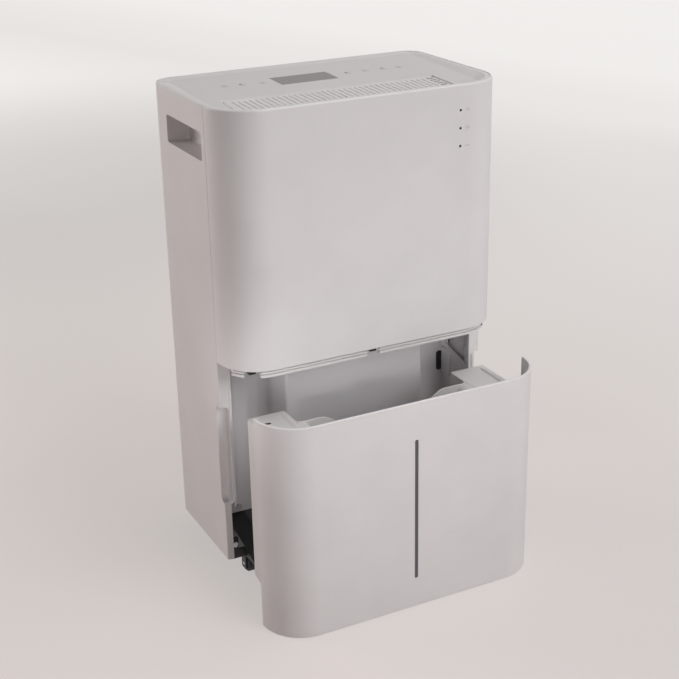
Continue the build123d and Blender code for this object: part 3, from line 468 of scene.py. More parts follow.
for x in (-shell["screwX"], shell["screwX"]):
    for z in shell["screwZ"]:
        backHoles.append(addRod("screwHole", (x, shell["holeY"], z), shell["screwHead"], shell["holeDeep"], sides=24))
cutAway(rearShell, *backHoles)
smoothOff(rearShell)
settle(rearShell, "housing", "body_white", ["rear_shell", "side_wall_left", "side_wall_right"])

# the jambs beside the bucket bay, each with a finger scoop over a narrow foot
jambs = {"foot": 167, "inner": 160.4, "cupIn": 162.5, "outer": 172.5, "deep": 2.5, "top": 290.5, "edge": 0.7,
         "front": -7.3, "bend": 9, "cupBend": 7, "beadWide": 2.8, "beadHigh": 0.9, "beadRoot": 1}
jambRear = cabinet["seam"] + jambs["deep"]
cupLow = scoop["z"][0] - jambs["deep"]
for side, hand in hands:
    jamb = addBlock("jamb_skin_" + hand, (side * jambs["foot"], jambs["front"], cabinet["bottom"]),
                    (side * jambs["outer"], jambRear, jambs["top"]))
    face = addBlock("jambFace", (side * jambs["inner"], jambs["front"], cupLow),
                    (side * jambs["outer"], jambRear, jambs["top"]))
    cupWall = addBlock("jambCup", (side * jambs["cupIn"], jambs["front"], cupLow),
                       (side * jambs["outer"], scoop["y"][1] + jambs["deep"], scoop["z"][1] + jambs["deep"]))
    for block, radius in ((face, jambs["bend"]), (cupWall, jambs["cupBend"])):
        roundEdges(block, radius, 8, lambda e: runs(e, "y") and abs(middle(e).x) < jambs["cupIn"] + touch
                   and middle(e).z < cupLow + touch)
    bead = addBlock("jambBead", (side * jambs["inner"], jambs["front"] - jambs["beadHigh"],
                                 scoop["z"][0] + jambs["bend"]),
                    (side * (jambs["inner"] + jambs["beadWide"]), jambs["front"] + jambs["beadRoot"], jambs["top"]))
    fuse(jamb, face, cupWall, bead)
    cutAway(jamb, scoopCutter(side))
    soften(jamb, jambs["edge"])
    settle(jamb, "housing", "body_white", ["jamb_" + hand])

# hand grips: rounded pockets behind the windows
grip = {"deep": 148.5, "outer": 172.5, "wall": 2, "corner": 4, "edge": 3}
for side, hand in hands:
    cup = addBlock("grip_cup_" + hand, (side * grip["deep"], shell["gripY"][0], shell["gripZ"][0]),
                   (side * grip["outer"], shell["gripY"][1], shell["gripZ"][1]))
    roundEdges(cup, grip["corner"], 5, lambda e: runs(e, "x"))
    roundEdges(cup, grip["edge"], 4, lambda e: abs(middle(e).x) < grip["deep"] + touch)
    openEdit(cup, "FACE")
    pick(cup, "FACE", lambda f: abs(f.calc_center_median().x) > (grip["outer"] - touch) * mm)
    bpy.ops.mesh.delete(type="FACE")
    closeEdit()
    modify(cup, "SOLIDIFY", thickness=grip["wall"] * mm, offset=1)
    smoothOff(cup)
    settle(cup, "housing", "cup_white", ["handle_cup_" + hand])
print("shell, jambs and grips done")

# plate under the panel, with a grooved and notched ridge; each ring is its inset, width, low and high
header = {"plate": (292, 294.5), "inset": 2.8, "cut": -28.6, "edge": 0.45, "spout": (0, -15, 293),
          "spoutRadius": 7.3, "spoutDeep": 20, "notches": (-149, 0), "notchHalf": 8, "notchY": (-62, -28),
          "notchZ": (270, 291.9),
          "rings": ((3.6, 4.4, 287.9, 290.0), (7.0, 1.0, 285.6, 292.2), (4.4, 3.6, 282.9, 286.0))}
plate = roundedFace("plate", cabinet["half"] - header["inset"], cabinet["front"] + header["inset"],
                    cabinet["rear"] - header["inset"], header["plate"][0], *insetCorners(header["inset"]))
openEdit(plate, "FACE")
bpy.ops.mesh.select_all(action="SELECT")
bpy.ops.mesh.bisect(plane_co=(0, panelEnd * mm, 0), plane_no=(0, 1, 0), clear_outer=True)
closeEdit()
pullOut(plate, z=header["plate"][1] - header["plate"][0])
cutAway(plate, addRod("spoutHole", header["spout"], header["spoutRadius"], header["spoutDeep"], "Z"))
ridges = [plate]
for inset, width, low, high in header["rings"]:
    ring = bandWall("ring", cabinet["half"] - inset, cabinet["front"] + inset, cabinet["rear"] - inset,
                    low, high, insetCorners(inset), width, header["cut"], True)
    for x in header["notches"]:
        cutAway(ring, addBlock("notch", (x - header["notchHalf"], header["notchY"][0], header["notchZ"][0]),
                               (x + header["notchHalf"], header["notchY"][1], header["notchZ"][1])))
    soften(ring, header["edge"], 2)
    ridges.append(ring)
settle(joinUp("bay_header_skin", ridges), "housing", "body_white", ["bay_header"])

# grey liner of the bay, traced in plan and pulled up, with a wedge and a boss in its right wall
bracket = {"wedge": ((44, 288), (-1, 288), (-1, 217), (44, 227)), "wedgeX": 159, "wedgeDeep": 8,
           "bossX": 158.2, "bossY": (34, 55.5), "bossZ": (186, 222), "bossRoot": 0.5, "bossCorner": 7,
           "bossEdge": 0.8, "backX": (167, 168.2), "backY": (-4.4, 50), "backZ": (212, 294)}
linerPlan = [(-bay["half"], cabinet["seam"]), (-bay["half"], bay["pocket"]), (-bay["left"], bay["pocket"]),
             (-bay["leftFront"], bay["block"]), (bay["right"], bay["block"]), (bay["right"], bay["pocket"]),
             (bay["half"], bay["pocket"]), (bay["half"], cabinet["seam"])]
liner = tracePlan("bay_liner_skin", [(x, y, bay["low"]) for x, y in linerPlan], False)
roundCorners(liner, bay["pocketBend"], 7, lambda v: onLine(v, bay["pocket"]) and v.co.x < 0)
roundCorners(liner, bay["blockBend"], 5, lambda v: onLine(v, bay["block"]))
roundCorners(liner, bay["rightBend"], 3, lambda v: onLine(v, bay["pocket"]) and v.co.x > 0)
openEdit(liner, "EDGE")
bpy.ops.mesh.select_all(action="SELECT")
bpy.ops.mesh.extrude_edges_move(TRANSFORM_OT_translate={"value": (0, 0, (bay["high"] - bay["low"]) * mm)})
bpy.ops.mesh.select_all(action="SELECT")
bpy.ops.mesh.normals_make_consistent(inside=False)
closeEdit()
modify(liner, "SOLIDIFY", thickness=bay["wall"] * mm, offset=1)
soften(liner, bay["edge"], 2)
wedge = tracePlan("wedge", [(bracket["wedgeX"], y, z) for y, z in bracket["wedge"]], True)
pullOut(wedge, x=bracket["wedgeDeep"])
cutAway(liner, wedge)
for side in (-1, 1):
    cutAway(liner, addBlock("lowNotch", (side * bay["notchX"][0], bay["notchY"][0], bay["notchZ"][0]),
                            (side * bay["notchX"][1], bay["notchY"][1], bay["notchZ"][1])))
smoothOff(liner)
boss = addBlock("boss", (bracket["bossX"], bracket["bossY"][0], bracket["bossZ"][0]),
                (bay["half"] + bracket["bossRoot"], bracket["bossY"][1], bracket["bossZ"][1]))
roundEdges(boss, bracket["bossCorner"], 6, lambda e: runs(e, "x") and middle(e).y < bracket["bossY"][0] + touch)
soften(boss, bracket["bossEdge"], 3)
wedgeBack = addBlock("wedgeBack", *zip(bracket["backX"], bracket["backY"], bracket["backZ"]))
settle(joinUp("bay_liner_skin", [liner, boss, wedgeBack]), "housing", "liner_grey", ["bay_liner"])

# black pill of the sensor in the right pocket
sensor = {"x": 155, "z": 203, "wide": 8, "high": 27, "y": (54.1, 66.9), "corner": 3.9, "edge": 0.4}
pill = addBlock("level_pill", (sensor["x"] - sensor["wide"] / 2, sensor["y"][0], sensor["z"] - sensor["high"] / 2),
                (sensor["x"] + sensor["wide"] / 2, sensor["y"][1], sensor["z"] + sensor["high"] / 2))
roundEdges(pill, sensor["corner"], 8, lambda e: runs(e, "y"))
soften(pill, sensor["edge"], 2)
settle(pill, "housing", slotOf["level_sensor"], ["level_sensor"])
print("bay done")

# bucket cover with its level slit
bucket = {"front": -156, "height": 263, "rearCut": -105.5, "rim": 2.1, "edge": 0.9, "foot": 1.9,
          "slitHalf": 2.25, "slitZ": (38, 217), "slitY": (-5, 8), "slitCorner": 1.6,
          "stripPlay": 0.05, "stripY": (0.6, 2.5), "stripCorner": 1.5, "stripEdge": 0.25}
coverRear = bucket["front"] + cabinet["rear"] - cabinet["front"]
cover = bandWall("bucket_cover_skin", cabinet["half"], bucket["front"], coverRear, 0, bucket["height"],
                 cabinet["corners"], cabinet["wall"], bucket["rearCut"], True)
roundRim(cover, bucket["front"], coverRear, bucket["height"], 0, bucket["rearCut"], bucket["rim"],
         bucket["foot"], bucket["edge"])


def slitBlock(name, ys, play, corner):
    half = bucket["slitHalf"] - play
    block = addBlock(name, (-half, bucket["front"] + ys[0], bucket["slitZ"][0] + play),
                     (half, bucket["front"] + ys[1], bucket["slitZ"][1] - play))
    roundEdges(block, corner, 4, lambda e: runs(e, "y"))
    return block


cutAway(cover, slitBlock("slit", bucket["slitY"], 0, bucket["slitCorner"]))
smoothOff(cover)
settle(cover, "bucket", "body_white", ["bucket_cover"])
strip = slitBlock("level_strip", bucket["stripY"], bucket["stripPlay"], bucket["stripCorner"])
soften(strip, bucket["stripEdge"], 2)
settle(strip, "bucket", "window_smoke", ["level_window"])

# tub: walls pulled up from a traced plan, with a sloping floor and a dipped rim
tub = {"half": 157, "front": -152.6, "back": -80, "earBack": -45, "earIn": 111, "wall": 2.5, "earTop": 233,
       "corner": 26, "earCorner": 0.9, "backCorner": 6, "floor": (30.04, -45, 0.27604), "rim": 212,
       "rimFlat": 40, "rimHigh": 82, "rimSteps": 24, "dipOver": 8, "dipPast": (10, 4), "edge": 0.7}


def tubFloor(y):
    height, at, rise = tub["floor"]
    return height + rise * (y - at)


tubPlan = [(-tub["half"], tub["front"]), (tub["half"], tub["front"]), (tub["half"], tub["earBack"]),
           (tub["earIn"], tub["earBack"]), (tub["earIn"], tub["back"]), (-tub["earIn"], tub["back"]),
           (-tub["earIn"], tub["earBack"]), (-tub["half"], tub["earBack"])]
tubWalls = tracePlan("bucket_tub_skin", [(x, y, 0) for x, y in tubPlan], True)
for line, radius in ((tub["front"], tub["corner"]), (tub["earBack"], tub["earCorner"]),
                     (tub["back"], tub["backCorner"])):
    roundCorners(tubWalls, radius, 8, lambda v: onLine(v, line))
pullOut(tubWalls, z=tub["earTop"])
openEdit(tubWalls, "FACE")
pick(tubWalls, "FACE", facesUp)
bpy.ops.mesh.delete(type="ONLY_FACE")
setHeights(tubWalls, lambda v: tubFloor(v.co.y / mm) * mm, lambda v: v.co.z < touch * mm)
closeEdit()
modify(tubWalls, "SOLIDIFY", thickness=tub["wall"] * mm, offset=-1, use_even_offset=True)
rimLine = [(-tub["rimHigh"], tub["earTop"] + tub["dipOver"])]
for i in range(tub["rimSteps"] + 1):
    share = i / tub["rimSteps"]
    across = tub["rimHigh"] - (tub["rimHigh"] - tub["rimFlat"]) * share
    rimLine.append((-across, tub["earTop"] - (tub["earTop"] - tub["rim"]) * (3 * share ** 2 - 2 * share ** 3)))
rimLine += [(-x, z) for x, z in reversed(rimLine)]
dip = tracePlan("dip", [(x, tub["front"] - tub["dipPast"][0], z) for x, z in rimLine], True)
pullOut(dip, y=tub["back"] - tub["front"] + sum(tub["dipPast"]))
cutAway(tubWalls, dip)
soften(tubWalls, tub["edge"])
tubParts = [tubWalls]

# caps on the tub's ears, sunk inside a ledge, the left one with a nick
ears = {"inset": 0.6, "frontGap": 1, "thick": 3, "proud": 0.02, "frontCorner": 25, "ledge": 5, "slope": 2.5,
        "sink": 1.2, "fall": 0.014, "rearCorner": 1.8, "edge": 0.5,
        "nickX": (-146, -136), "nickY": (-66, -60.5), "nickZ": (226, 240), "nickCorner": 2}
earFront, earRear = tub["front"] + ears["frontGap"], tub["earBack"] - ears["inset"]
earOut = tub["half"] - ears["inset"]
for side in (-1, 1):
    cap = addBlock("cap", (side * (tub["earIn"] + ears["inset"]), earFront, tub["earTop"] - ears["thick"]),
                   (side * earOut, earRear, tub["earTop"] + ears["proud"]))
    roundEdges(cap, ears["frontCorner"], 8, lambda e: runs(e, "z") and middle(e).y < earFront + touch
               and abs(middle(e).x) > earOut - touch)
    openEdit(cap, "FACE")
    pick(cap, "FACE", facesUp)
    bpy.ops.mesh.inset(thickness=ears["ledge"] * mm, depth=0)
    bpy.ops.mesh.inset(thickness=ears["slope"] * mm, depth=0)
    setHeights(cap, lambda v: v.co.z - (ears["sink"] + ears["fall"] * (tub["earBack"] - v.co.y / mm)) * mm,
               lambda v: v.select)
    closeEdit()
    roundEdges(cap, ears["rearCorner"], 4, lambda e: runs(e, "z") and middle(e).y > earRear - touch)
    if side < 0:
        nick = addBlock("nick", *zip(ears["nickX"], ears["nickY"], ears["nickZ"]))
        roundEdges(nick, ears["nickCorner"], 3, lambda e: runs(e, "z"))
        cutAway(cap, nick)
    soften(cap, ears["edge"], 2)
    tubParts.append(cap)

# skirts under the inner sides of the caps, and two feet under the tub's back
skirts = {"inner": 98, "low": 200, "bend": 9, "past": 1.4, "frontGap": 2, "backGap": 1, "under": 0.3, "edge": 0.5}
for side in (-1, 1):
    skirt = addBlock("skirt", (side * skirts["inner"], tub["front"] + skirts["frontGap"], skirts["low"]),
                     (side * (tub["earIn"] + skirts["past"]), tub["back"] - skirts["backGap"],
                      tub["earTop"] - skirts["under"]))
    roundEdges(skirt, skirts["bend"], 8, lambda e: runs(e, "y") and abs(middle(e).x) < skirts["inner"] + touch
               and middle(e).z > skirts["low"] + touch)
    soften(skirt, skirts["edge"], 2)
    tubParts.append(skirt)
feet = {"x": 65, "half": 12, "y": (-90.5, -82.5), "topAt": -86, "edge": 1.0}
for x in (-feet["x"], feet["x"]):
    foot = addBlock("foot", (x - feet["half"], feet["y"][0], 0),
                    (x + feet["half"], feet["y"][1], tubFloor(feet["topAt"])))
    soften(foot, feet["edge"], 2)
    tubParts.append(foot)
settle(joinUp("bucket_tub_skin", tubParts), "bucket", "tub_white", ["bucket_tub"])
print("bucket done")

# deck: a tray inside the rim, with a sloped wall and a basin round the outlet
top = {"inset": 2.8, "low": 576, "ledge": 5.2, "slope": 7.6, "sink": 0.02, "edge": 0.9, "edgeAngle": 12,
       "smoothAngle": 25, "outletX": (-140, 125), "outletY": (-43, 25), "displayX": (-50, 22),
       "displayY": (63, 100), "displayDeep": 1.5, "displayGap": 0.3, "displayEdge": 0.35, "cutReach": 20,
       "darkerFacing": 0.97, "darkerUnder": 0.6}
basinForm = {"x": (-147, 131), "y": (-45, 50), "foot": 26, "depth": 2.4, "over": 12, "lean": (5, -8), "corner": 9}
deckTray = roundedFace("top_deck_skin", cabinet["half"] - top["inset"], cabinet["front"] + top["inset"],
                       cabinet["rear"] - top["inset"], top["low"], *insetCorners(top["inset"]))
pullOut(deckTray, z=deck["rim"] - top["low"])
openEdit(deckTray, "FACE")
pick(deckTray, "FACE", facesUp)
bpy.ops.mesh.inset(thickness=top["ledge"] * mm, depth=0)
bpy.ops.mesh.inset(thickness=top["slope"] * mm, depth=0)
setHeights(deckTray, lambda v: (deckHeight(v.co.y / mm) - top["sink"]) * mm, lambda v: v.select)
closeEdit()
soften(deckTray, top["edge"], 3, top["edgeAngle"])


# a block between two heights measured from the sloping deck
def tiltedBlock(name, xs, ys, under, over):
    piece = addBlock(name, (xs[0], ys[0], 0), (xs[1], ys[1], 1))
    openEdit(piece, "VERT")
    setHeights(piece, lambda v: (deckHeight(v.co.y / mm) + (over if v.co.z > 0.5 * mm else under)) * mm,
               lambda v: True)
    closeEdit()
    return piece


basin = tiltedBlock("basin", basinForm["x"], basinForm["y"], -basinForm["depth"], basinForm["over"])
openEdit(basin, "VERT")
mesh = bmesh.from_edit_mesh(basin.data)
for vert in mesh.verts:
    if vert.co.z < deck["height"] * mm:
        if vert.co.y > 0:
            vert.co.y = basinForm["foot"] * mm
            vert.co.z = (deckHeight(basinForm["foot"]) - basinForm["depth"]) * mm
        vert.co.x += basinForm["lean"][0 if vert.co.x < 0 else 1] * mm
bmesh.update_edit_mesh(basin.data)
closeEdit()
roundEdges(basin, basinForm["corner"], 6, lambda e: middle(e).y > top["outletY"][1] and not runs(e, "x"))
outlet = tiltedBlock("outlet", top["outletX"], top["outletY"], -top["cutReach"], top["cutReach"])
displayRoom = tiltedBlock("displayRoom", top["displayX"], top["displayY"], -top["displayDeep"], top["cutReach"])
cutAway(deckTray, basin, outlet, displayRoom)
smoothOff(deckTray, top["smoothAngle"])
settle(deckTray, "housing", "body_white", ["top_deck"])
# the deck's upward faces below the rim take the darker tone
deckTray.data.materials.append(accents["deck"])
openEdit(deckTray, "FACE")
pick(deckTray, "FACE", lambda f: f.normal.z > top["darkerFacing"]
     and f.calc_center_median().z < (deck["rim"] - top["darkerUnder"]) * mm)
deckTray.active_material_index = 1
bpy.ops.object.material_slot_assign()
closeEdit()

pane = tiltedBlock("display_pane", (top["displayX"][0] + top["displayGap"], top["displayX"][1] - top["displayGap"]),
                   (top["displayY"][0] + top["displayGap"], top["displayY"][1] - top["displayGap"]),
                   -top["displayDeep"], 0)
soften(pane, top["displayEdge"], 2)
settle(pane, "housing", "display_dark", ["display_window"])

# small signs of the touch keys on the deck: a ring or a block in turn, each over a dash
keys = {"spots": ((-111, 89), (-91, 87), (-66, 84), (42, 84), (66, 85), (90, 84.5), (111, 83)), "ring": 2.5,
        "ringThick": 0.34, "ringDeep": 0.25, "blockHalf": (2, 1.6), "dashHalf": 4.2, "dashY": (-5.6, -4.9),
        "under": -0.2, "over": 0.04}
keySigns = []
for i, (x, y) in enumerate(keys["spots"]):
    if i % 2:
        wide, long = keys["blockHalf"]
        keySigns.append(tiltedBlock("key", (x - wide, x + wide), (y - long, y + long), keys["under"], keys["over"]))
    else:
        keySigns.append(addRing("key", (x, y, deckHeight(y) - keys["ringDeep"]), keys["ring"], keys["ringThick"],
                                (deck["fall"], 0, 0)))
    keySigns.append(tiltedBlock("key", (x - keys["dashHalf"], x + keys["dashHalf"]),
                                [y + edge for edge in keys["dashY"]], keys["under"], keys["over"]))
settle(joinUp("key_signs", keySigns), "housing", "body_white", (), accents["mark"])

# outlet grille: tilted louvres over long slats, with an open comb at the right end; near-black blocks in the comb's
# gaps are painted shade
grille = {"top": -1.4, "deep": -5, "frame": 4, "gap": 0.3, "root": 1, "slats": 7, "slatWide": 3.2, "slatTop": -3.4,
          "louvres": 37, "louvreWide": 6.3, "louvreThick": 1.1, "tilt": 0.5, "comb": 113, "combOver": 2,
          "shadeTop": -2.3, "edge": 0.25}
left, right = top["outletX"]
near, far = top["outletY"]
frameX, frameY = (left + grille["gap"], right - grille["gap"]), (near + grille["gap"], far - grille["gap"])
slatPitch = (far - near - 2 * grille["frame"] + grille["slatWide"]) / (grille["slats"] + 1)
louvrePitch = (right - left - 2 * grille["frame"]) / (grille["louvres"] + 1)
bars = []
for ys in ((frameY[0], near + grille["frame"]), (far - grille["frame"], frameY[1])):
    bars.append(tiltedBlock("bar", frameX, ys, grille["deep"], grille["top"]))
for xs in ((frameX[0], left + grille["frame"]), (right - grille["frame"], frameX[1])):
    bars.append(tiltedBlock("bar", xs, frameY, grille["deep"], grille["top"]))
# blocks of painted shade, set low between the comb's teeth
combShadeBlocks = []
combEnd = grille["comb"] + grille["root"]
for i in range(grille["slats"] + 1):
    y = near + grille["frame"] + i * slatPitch
    gapEnd = y + slatPitch - grille["slatWide"]
    slatY = (gapEnd, gapEnd + grille["slatWide"])
    combShadeBlocks.append(tiltedBlock("gap", (combEnd, right - grille["frame"]), (y, gapEnd), grille["deep"],
                                grille["shadeTop"]))
    if i < grille["slats"]:
        bars.append(tiltedBlock("slat", (left + grille["root"], combEnd), slatY, grille["deep"], grille["slatTop"]))
        bars.append(tiltedBlock("tooth", (grille["comb"], right - grille["root"]), slatY, grille["deep"],
                                grille["top"]))
for i in range(grille["louvres"] + 1):
    x = left + grille["frame"] + i * louvrePitch
    if x + grille["louvreWide"] > grille["comb"] + grille["combOver"]:
        break
    louvre = tiltedBlock("louvre", (x, x + grille["louvreWide"]), (near + grille["root"], far - grille["root"]),
                         grille["top"] - grille["louvreThick"], grille["top"])
    openEdit(louvre, "VERT")
    pick(louvre, "VERT", lambda v: v.co.x / mm > x + touch)
    bpy.ops.transform.translate(value=(0, 0, -grille["tilt"] * mm))
    closeEdit()
    bars.append(louvre)
for bar in bars:
    modify(bar, "BEVEL", width=grille["edge"] * mm, segments=2)
outletGrille = joinUp("outlet_grille_skin", bars)
smoothOff(outletGrille)
settle(outletGrille, "housing", "body_white", ["outlet_grille"])
# the comb's near-black blocks are painted shade
settle(joinUp("grille_comb_shade", combShadeBlocks), "housing", "base_black", (), accents["gap"])
print("deck and grille done")

# filter cassette: slats and posts in a hollow frame, with a fine net behind them
cassette = {"half": 130, "low": 330, "high": 540, "y": (147, 156), "corner": 3, "border": 9, "headroom": 8,
            "roomY": (140, 160), "wall": 2.5, "hollowY": (140, 153.5), "notchHalf": 30, "notchY": (153.6, 160),
            "notchZ": (532, 545), "edge": 0.6, "root": 1, "slats": 16, "slatPitch": 11.3, "slatHalf": 2.2,
            "slatY": (153.6, 155.8), "slatEdge": 0.7, "posts": (-40.7, 40.7), "postHalf": 2, "postY": (153.6, 155.9)}
roomHalf = cassette["half"] - cassette["border"]
roomLow = cassette["low"] + cassette["border"]
roomHigh = cassette["high"] - cassette["border"] - cassette["headroom"]


def cassetteBlock(name, half, ys, low, high):
    return addBlock(name, (-half, ys[0], low), (half, ys[1], high))


back = cassetteBlock("filter_frame_skin", cassette["half"], cassette["y"], cassette["low"], cassette["high"])
roundEdges(back, cassette["corner"], 4, lambda e: runs(e, "y"))
cutAway(back, cassetteBlock("room", roomHalf, cassette["roomY"], roomLow, roomHigh),
        cassetteBlock("hollow", cassette["half"] - cassette["wall"], cassette["hollowY"],
                      cassette["low"] + cassette["wall"], cassette["high"] - cassette["wall"]),
        cassetteBlock("fingerNotch", cassette["notchHalf"], cassette["notchY"], *cassette["notchZ"]))
soften(back, cassette["edge"], 2)
backParts = [back]
for i in range(cassette["slats"]):
    z = roomLow + cassette["slatPitch"] * (i + 1)
    slat = cassetteBlock("slat", roomHalf + cassette["root"], cassette["slatY"], z - cassette["slatHalf"],
                         z + cassette["slatHalf"])
    soften(slat, cassette["slatEdge"], 2)
    backParts.append(slat)
for x in cassette["posts"]:
    post = addBlock("post", (x - cassette["postHalf"], cassette["postY"][0], roomLow - cassette["root"]),
                    (x + cassette["postHalf"], cassette["postY"][1], roomHigh + cassette["root"]))
    soften(post, cassette["edge"], 2)
    backParts.append(post)
settle(joinUp("filter_frame_skin", backParts), "filter", "body_white", ["filter_frame"])

net = {"half": 127.5, "low": 332.5, "high": 537.5, "warpY": (152.7, 153.1), "weftY": (152.55, 153.0),
       "thread": 0.5, "pitch": 3.1}
across = int(2 * net["half"] / net["pitch"])
down = int((net["high"] - net["low"]) / net["pitch"])
warp = addBlock("warp", (-net["half"], net["warpY"][0], net["low"]),
                (net["thread"] - net["half"], net["warpY"][1], net["high"]))
modify(warp, "ARRAY", count=across + 1, use_relative_offset=False, use_constant_offset=True,
       constant_offset_displace=((2 * net["half"] - net["thread"]) / across * mm, 0, 0))
weft = addBlock("weft", (-net["half"], net["weftY"][0], net["low"]),
                (net["half"], net["weftY"][1], net["low"] + net["thread"]))
modify(weft, "ARRAY", count=down + 1, use_relative_offset=False, use_constant_offset=True,
       constant_offset_displace=(0, 0, (net["high"] - net["low"] - net["thread"]) / down * mm))
settle(joinUp("filter_net", [warp, weft]), "filter", "net_grey", ["filter_mesh"])
print("filter done")

# screws with a cross recess: two pan heads on the base, four flush heads in the back
screws = {"baseX": 162.8, "baseZ": 49.5, "baseY": -2, "pan": 3.4, "panHigh": 2.2, "flush": 3.15, "flushHigh": 2,
          "flushSink": 2.2, "cross": (4.2, 0.9), "crossDeep": 1.2, "dome": 0.9, "headSides": 40, "shank": 1.55,
          "shankLong": 7.8, "shankSides": 24, "smoothAngle": 30}


def crossCutter(x, y, z):
    long, thin = [size / 2 for size in screws["cross"]]
    deep = screws["crossDeep"]
    flat = addBlock("crossCutter", (x - long, y - deep, z - thin), (x + long, y + deep, z + thin))
    fuse(flat, addBlock("upright", (x - thin, y - deep, z - long), (x + thin, y + deep, z + long)))
    return flat


def addScrew(x, z, y, head, high, side):
    screw = addRod("screw", (x, y + side * high / 2, z), head, high, sides=screws["headSides"])
    roundEdges(screw, min(screws["dome"], high / 3), 4, lambda e: (middle(e).y - y) * side > high - touch)
    cutAway(screw, crossCutter(x, y + side * high, z))
    shank = addRod("shank", (x, y - side * screws["shankLong"] / 2, z), screws["shank"], screws["shankLong"],
                   sides=screws["shankSides"])
    return [screw, shank]


baseScrews, backScrews = [], []
for x in (-screws["baseX"], screws["baseX"]):
    baseScrews += addScrew(x, screws["baseZ"], screws["baseY"], screws["pan"], screws["panHigh"], -1)
for x in (-shell["screwX"], shell["screwX"]):
    for z in shell["screwZ"]:
        backScrews += addScrew(x, z, cabinet["rear"] - screws["flushSink"], screws["flush"], screws["flushHigh"], 1)
for name, group, node in (("base_screw_heads", baseScrews, "base_screws"),
                          ("back_screw_heads", backScrews, "back_screws")):
    heads = joinUp(name, group)
    smoothOff(heads, screws["smoothAngle"])
    settle(heads, "housing", slotOf[node], [node])
print("screws done")


# the stage: what the camera, gloss and glass see of floor and sky is paler than what lights the object

def seenRays(tree):
    rays = tree.nodes.new("ShaderNodeLightPath")
    last = rays.outputs["Is Camera Ray"]
    for kind in ("Is Glossy Ray", "Is Transmission Ray"):
        either = tree.nodes.new("ShaderNodeMath")
        either.operation = "MAXIMUM"
        tree.links.new(last, either.inputs[0])
        tree.links.new(rays.outputs[kind], either.inputs[1])
        last = either.outputs[0]
    return last


def addRange(tree, values):
    node = tree.nodes.new("ShaderNodeMapRange")
    for socket, value in zip(("From Min", "From Max", "To Min", "To Max"), values):
        node.inputs[socket].default_value = value
    return node


# floor in metres: tones along a slanting line, dimmer round one spot, blending to plain paper near the object
ground = {"size": 40, "drop": 0.0006, "rough": 0.9, "bounce": (0.62, 0.54, 0.525), "drift": 3.0,
          "reach": (-1.5, 12.5), "fade": (0.5, 2.4, 0.5, 1.0), "duskSpot": (0.2, 1.9, 0),
          "dusk": (0.3, 1.5, 0.75, 1.0),
          "tones": ((0.0, (0.95, 0.90, 0.875)), (0.12, (0.90, 0.86, 0.835)), (0.25, (0.93, 0.895, 0.87)),
                    (0.4, (0.885, 0.853, 0.831)), (0.56, (0.80, 0.775, 0.76)), (0.66, (0.83, 0.81, 0.79)),
                    (0.75, (0.875, 0.855, 0.835)), (1.0, (0.88, 0.86, 0.84)))}
dropSelection()
bpy.ops.mesh.primitive_plane_add(size=ground["size"], location=(0, 0, -ground["drop"]))
floor = bpy.context.object
floor.name = "floor"
paper = bpy.data.materials.new("palePaper")
paper.use_nodes = True
tree = paper.node_tree
join = tree.links.new
shader = tree.nodes["Principled BSDF"]
shader.inputs["Roughness"].default_value = ground["rough"]
shader.inputs["Base Color"].default_value = (*ground["bounce"], 1)
place = tree.nodes.new("ShaderNodeTexCoord")
axes = tree.nodes.new("ShaderNodeSeparateXYZ")
drift = tree.nodes.new("ShaderNodeMath")
drift.operation = "MULTIPLY_ADD"
drift.inputs[1].default_value = ground["drift"]
reach = addRange(tree, ground["reach"])
wash = tree.nodes.new("ShaderNodeValToRGB")
wash.color_ramp.elements[0].color = (*ground["tones"][0][1], 1)
wash.color_ramp.elements[1].color = (*ground["tones"][-1][1], 1)
for spot, tone in ground["tones"][1:-1]:
    wash.color_ramp.elements.new(spot).color = (*tone, 1)
away = tree.nodes.new("ShaderNodeVectorMath")
away.operation = "LENGTH"
fade = addRange(tree, ground["fade"])
apart = tree.nodes.new("ShaderNodeVectorMath")
apart.operation = "DISTANCE"
apart.inputs[1].default_value = ground["duskSpot"]
dusk = addRange(tree, ground["dusk"])
dusk.interpolation_type = "SMOOTHSTEP"
glow = tree.nodes.new("ShaderNodeEmission")
share = tree.nodes.new("ShaderNodeMath")
share.operation = "MULTIPLY"
blend = tree.nodes.new("ShaderNodeMixShader")
join(place.outputs["Object"], axes.inputs[0])
join(axes.outputs["X"], drift.inputs[0])
join(axes.outputs["Y"], drift.inputs[2])
join(drift.outputs[0], reach.inputs["Value"])
join(reach.outputs["Result"], wash.inputs["Fac"])
join(wash.outputs["Color"], glow.inputs["Color"])
join(place.outputs["Object"], apart.inputs[0])
join(apart.outputs["Value"], dusk.inputs["Value"])
join(dusk.outputs["Result"], glow.inputs["Strength"])
join(place.outputs["Object"], away.inputs[0])
join(away.outputs["Value"], fade.inputs["Value"])
join(seenRays(tree), share.inputs[0])
join(fade.outputs["Result"], share.inputs[1])
join(share.outputs[0], blend.inputs["Fac"])
join(shader.outputs[0], blend.inputs[1])
join(glow.outputs[0], blend.inputs[2])
join(blend.outputs[0], tree.nodes["Material Output"].inputs["Surface"])
floor.data.materials.append(paper)
floor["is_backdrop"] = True

air = {"light": (0.93, 0.90, 0.89), "strength": 0.10, "seen": (0.87, 0.85, 0.83)}
world = bpy.data.worlds.new("studio")
bpy.context.scene.world = world
world.use_nodes = True
tree = world.node_tree
join = tree.links.new
dim = tree.nodes["Background"]
dim.inputs["Color"].default_value = (*air["light"], 1)
dim.inputs["Strength"].default_value = air["strength"]
pale = tree.nodes.new("ShaderNodeBackground")
pale.inputs["Color"].default_value = (*air["seen"], 1)
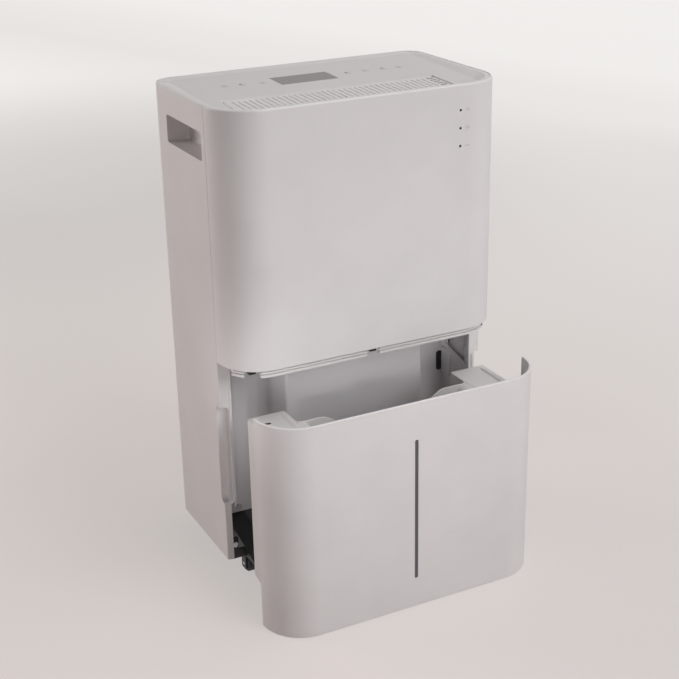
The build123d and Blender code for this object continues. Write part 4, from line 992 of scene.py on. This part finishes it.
blend = tree.nodes.new("ShaderNodeMixShader")
join(seenRays(tree), blend.inputs["Fac"])
join(dim.outputs[0], blend.inputs[1])
join(pale.outputs[0], blend.inputs[2])
join(blend.outputs[0], tree.nodes["World Output"].inputs["Surface"])

# slot and nook are narrow lights that reach into the bay
lights = {"key": {"place": (1.0, -2.4, 1.75), "aim": (0, 0, 0.4), "size": 1.7, "power": 41.5, "spread": 180,
                  "tint": (0.99, 0.99, 1)},
          "slot": {"place": (-1.0, -2.4, 0.85), "aim": (0.05, 0, 0.27), "size": 0.5, "power": 0.15, "spread": 11,
                   "tint": (1, 0.97, 0.98)},
          "nook": {"place": (-2.2, -1.45, 0.75), "aim": (-0.03, 0.02, 0.26), "size": 0.1, "power": 0.011,
                   "spread": 4, "tint": (1, 0.97, 0.98)},
          "left": {"place": (-2.6, 2.4, 1.25), "aim": (0, 0, 0.3), "size": 2.0, "power": 53, "spread": 180,
                   "tint": (1, 0.915, 0.89)},
          "roof": {"place": (0.9, -0.5, 2.8), "aim": (0, 0, 0.3), "size": 1.4, "power": 20, "spread": 180,
                   "tint": (1, 0.985, 0.98)}}
for name, plan in lights.items():
    dropSelection()
    bpy.ops.object.light_add(type="AREA", location=plan["place"])
    light = bpy.context.object
    light.name = name
    light.data.size = plan["size"]
    light.data.energy = plan["power"]
    light.data.spread = math.radians(plan["spread"])
    light.data.color = plan["tint"]
    light.rotation_euler = (Vector(plan["aim"]) - Vector(plan["place"])).to_track_quat("-Z", "Y").to_euler()

# camera solved from the photo: metres, degrees, millimetres
shot = {"place": (-0.68178, -1.32687, 0.89156), "turn": (67.7965, 1.0743, -27.0948), "lens": 71.662, "sensor": 36}
dropSelection()
bpy.ops.object.camera_add(location=shot["place"], rotation=[math.radians(a) for a in shot["turn"]])
camera = bpy.context.object
camera.data.sensor_width = shot["sensor"]
camera.data.lens = shot["lens"]
bpy.context.scene.camera = camera
bpy.context.scene.view_settings.view_transform = "Standard"
print("stage set")

low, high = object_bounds()
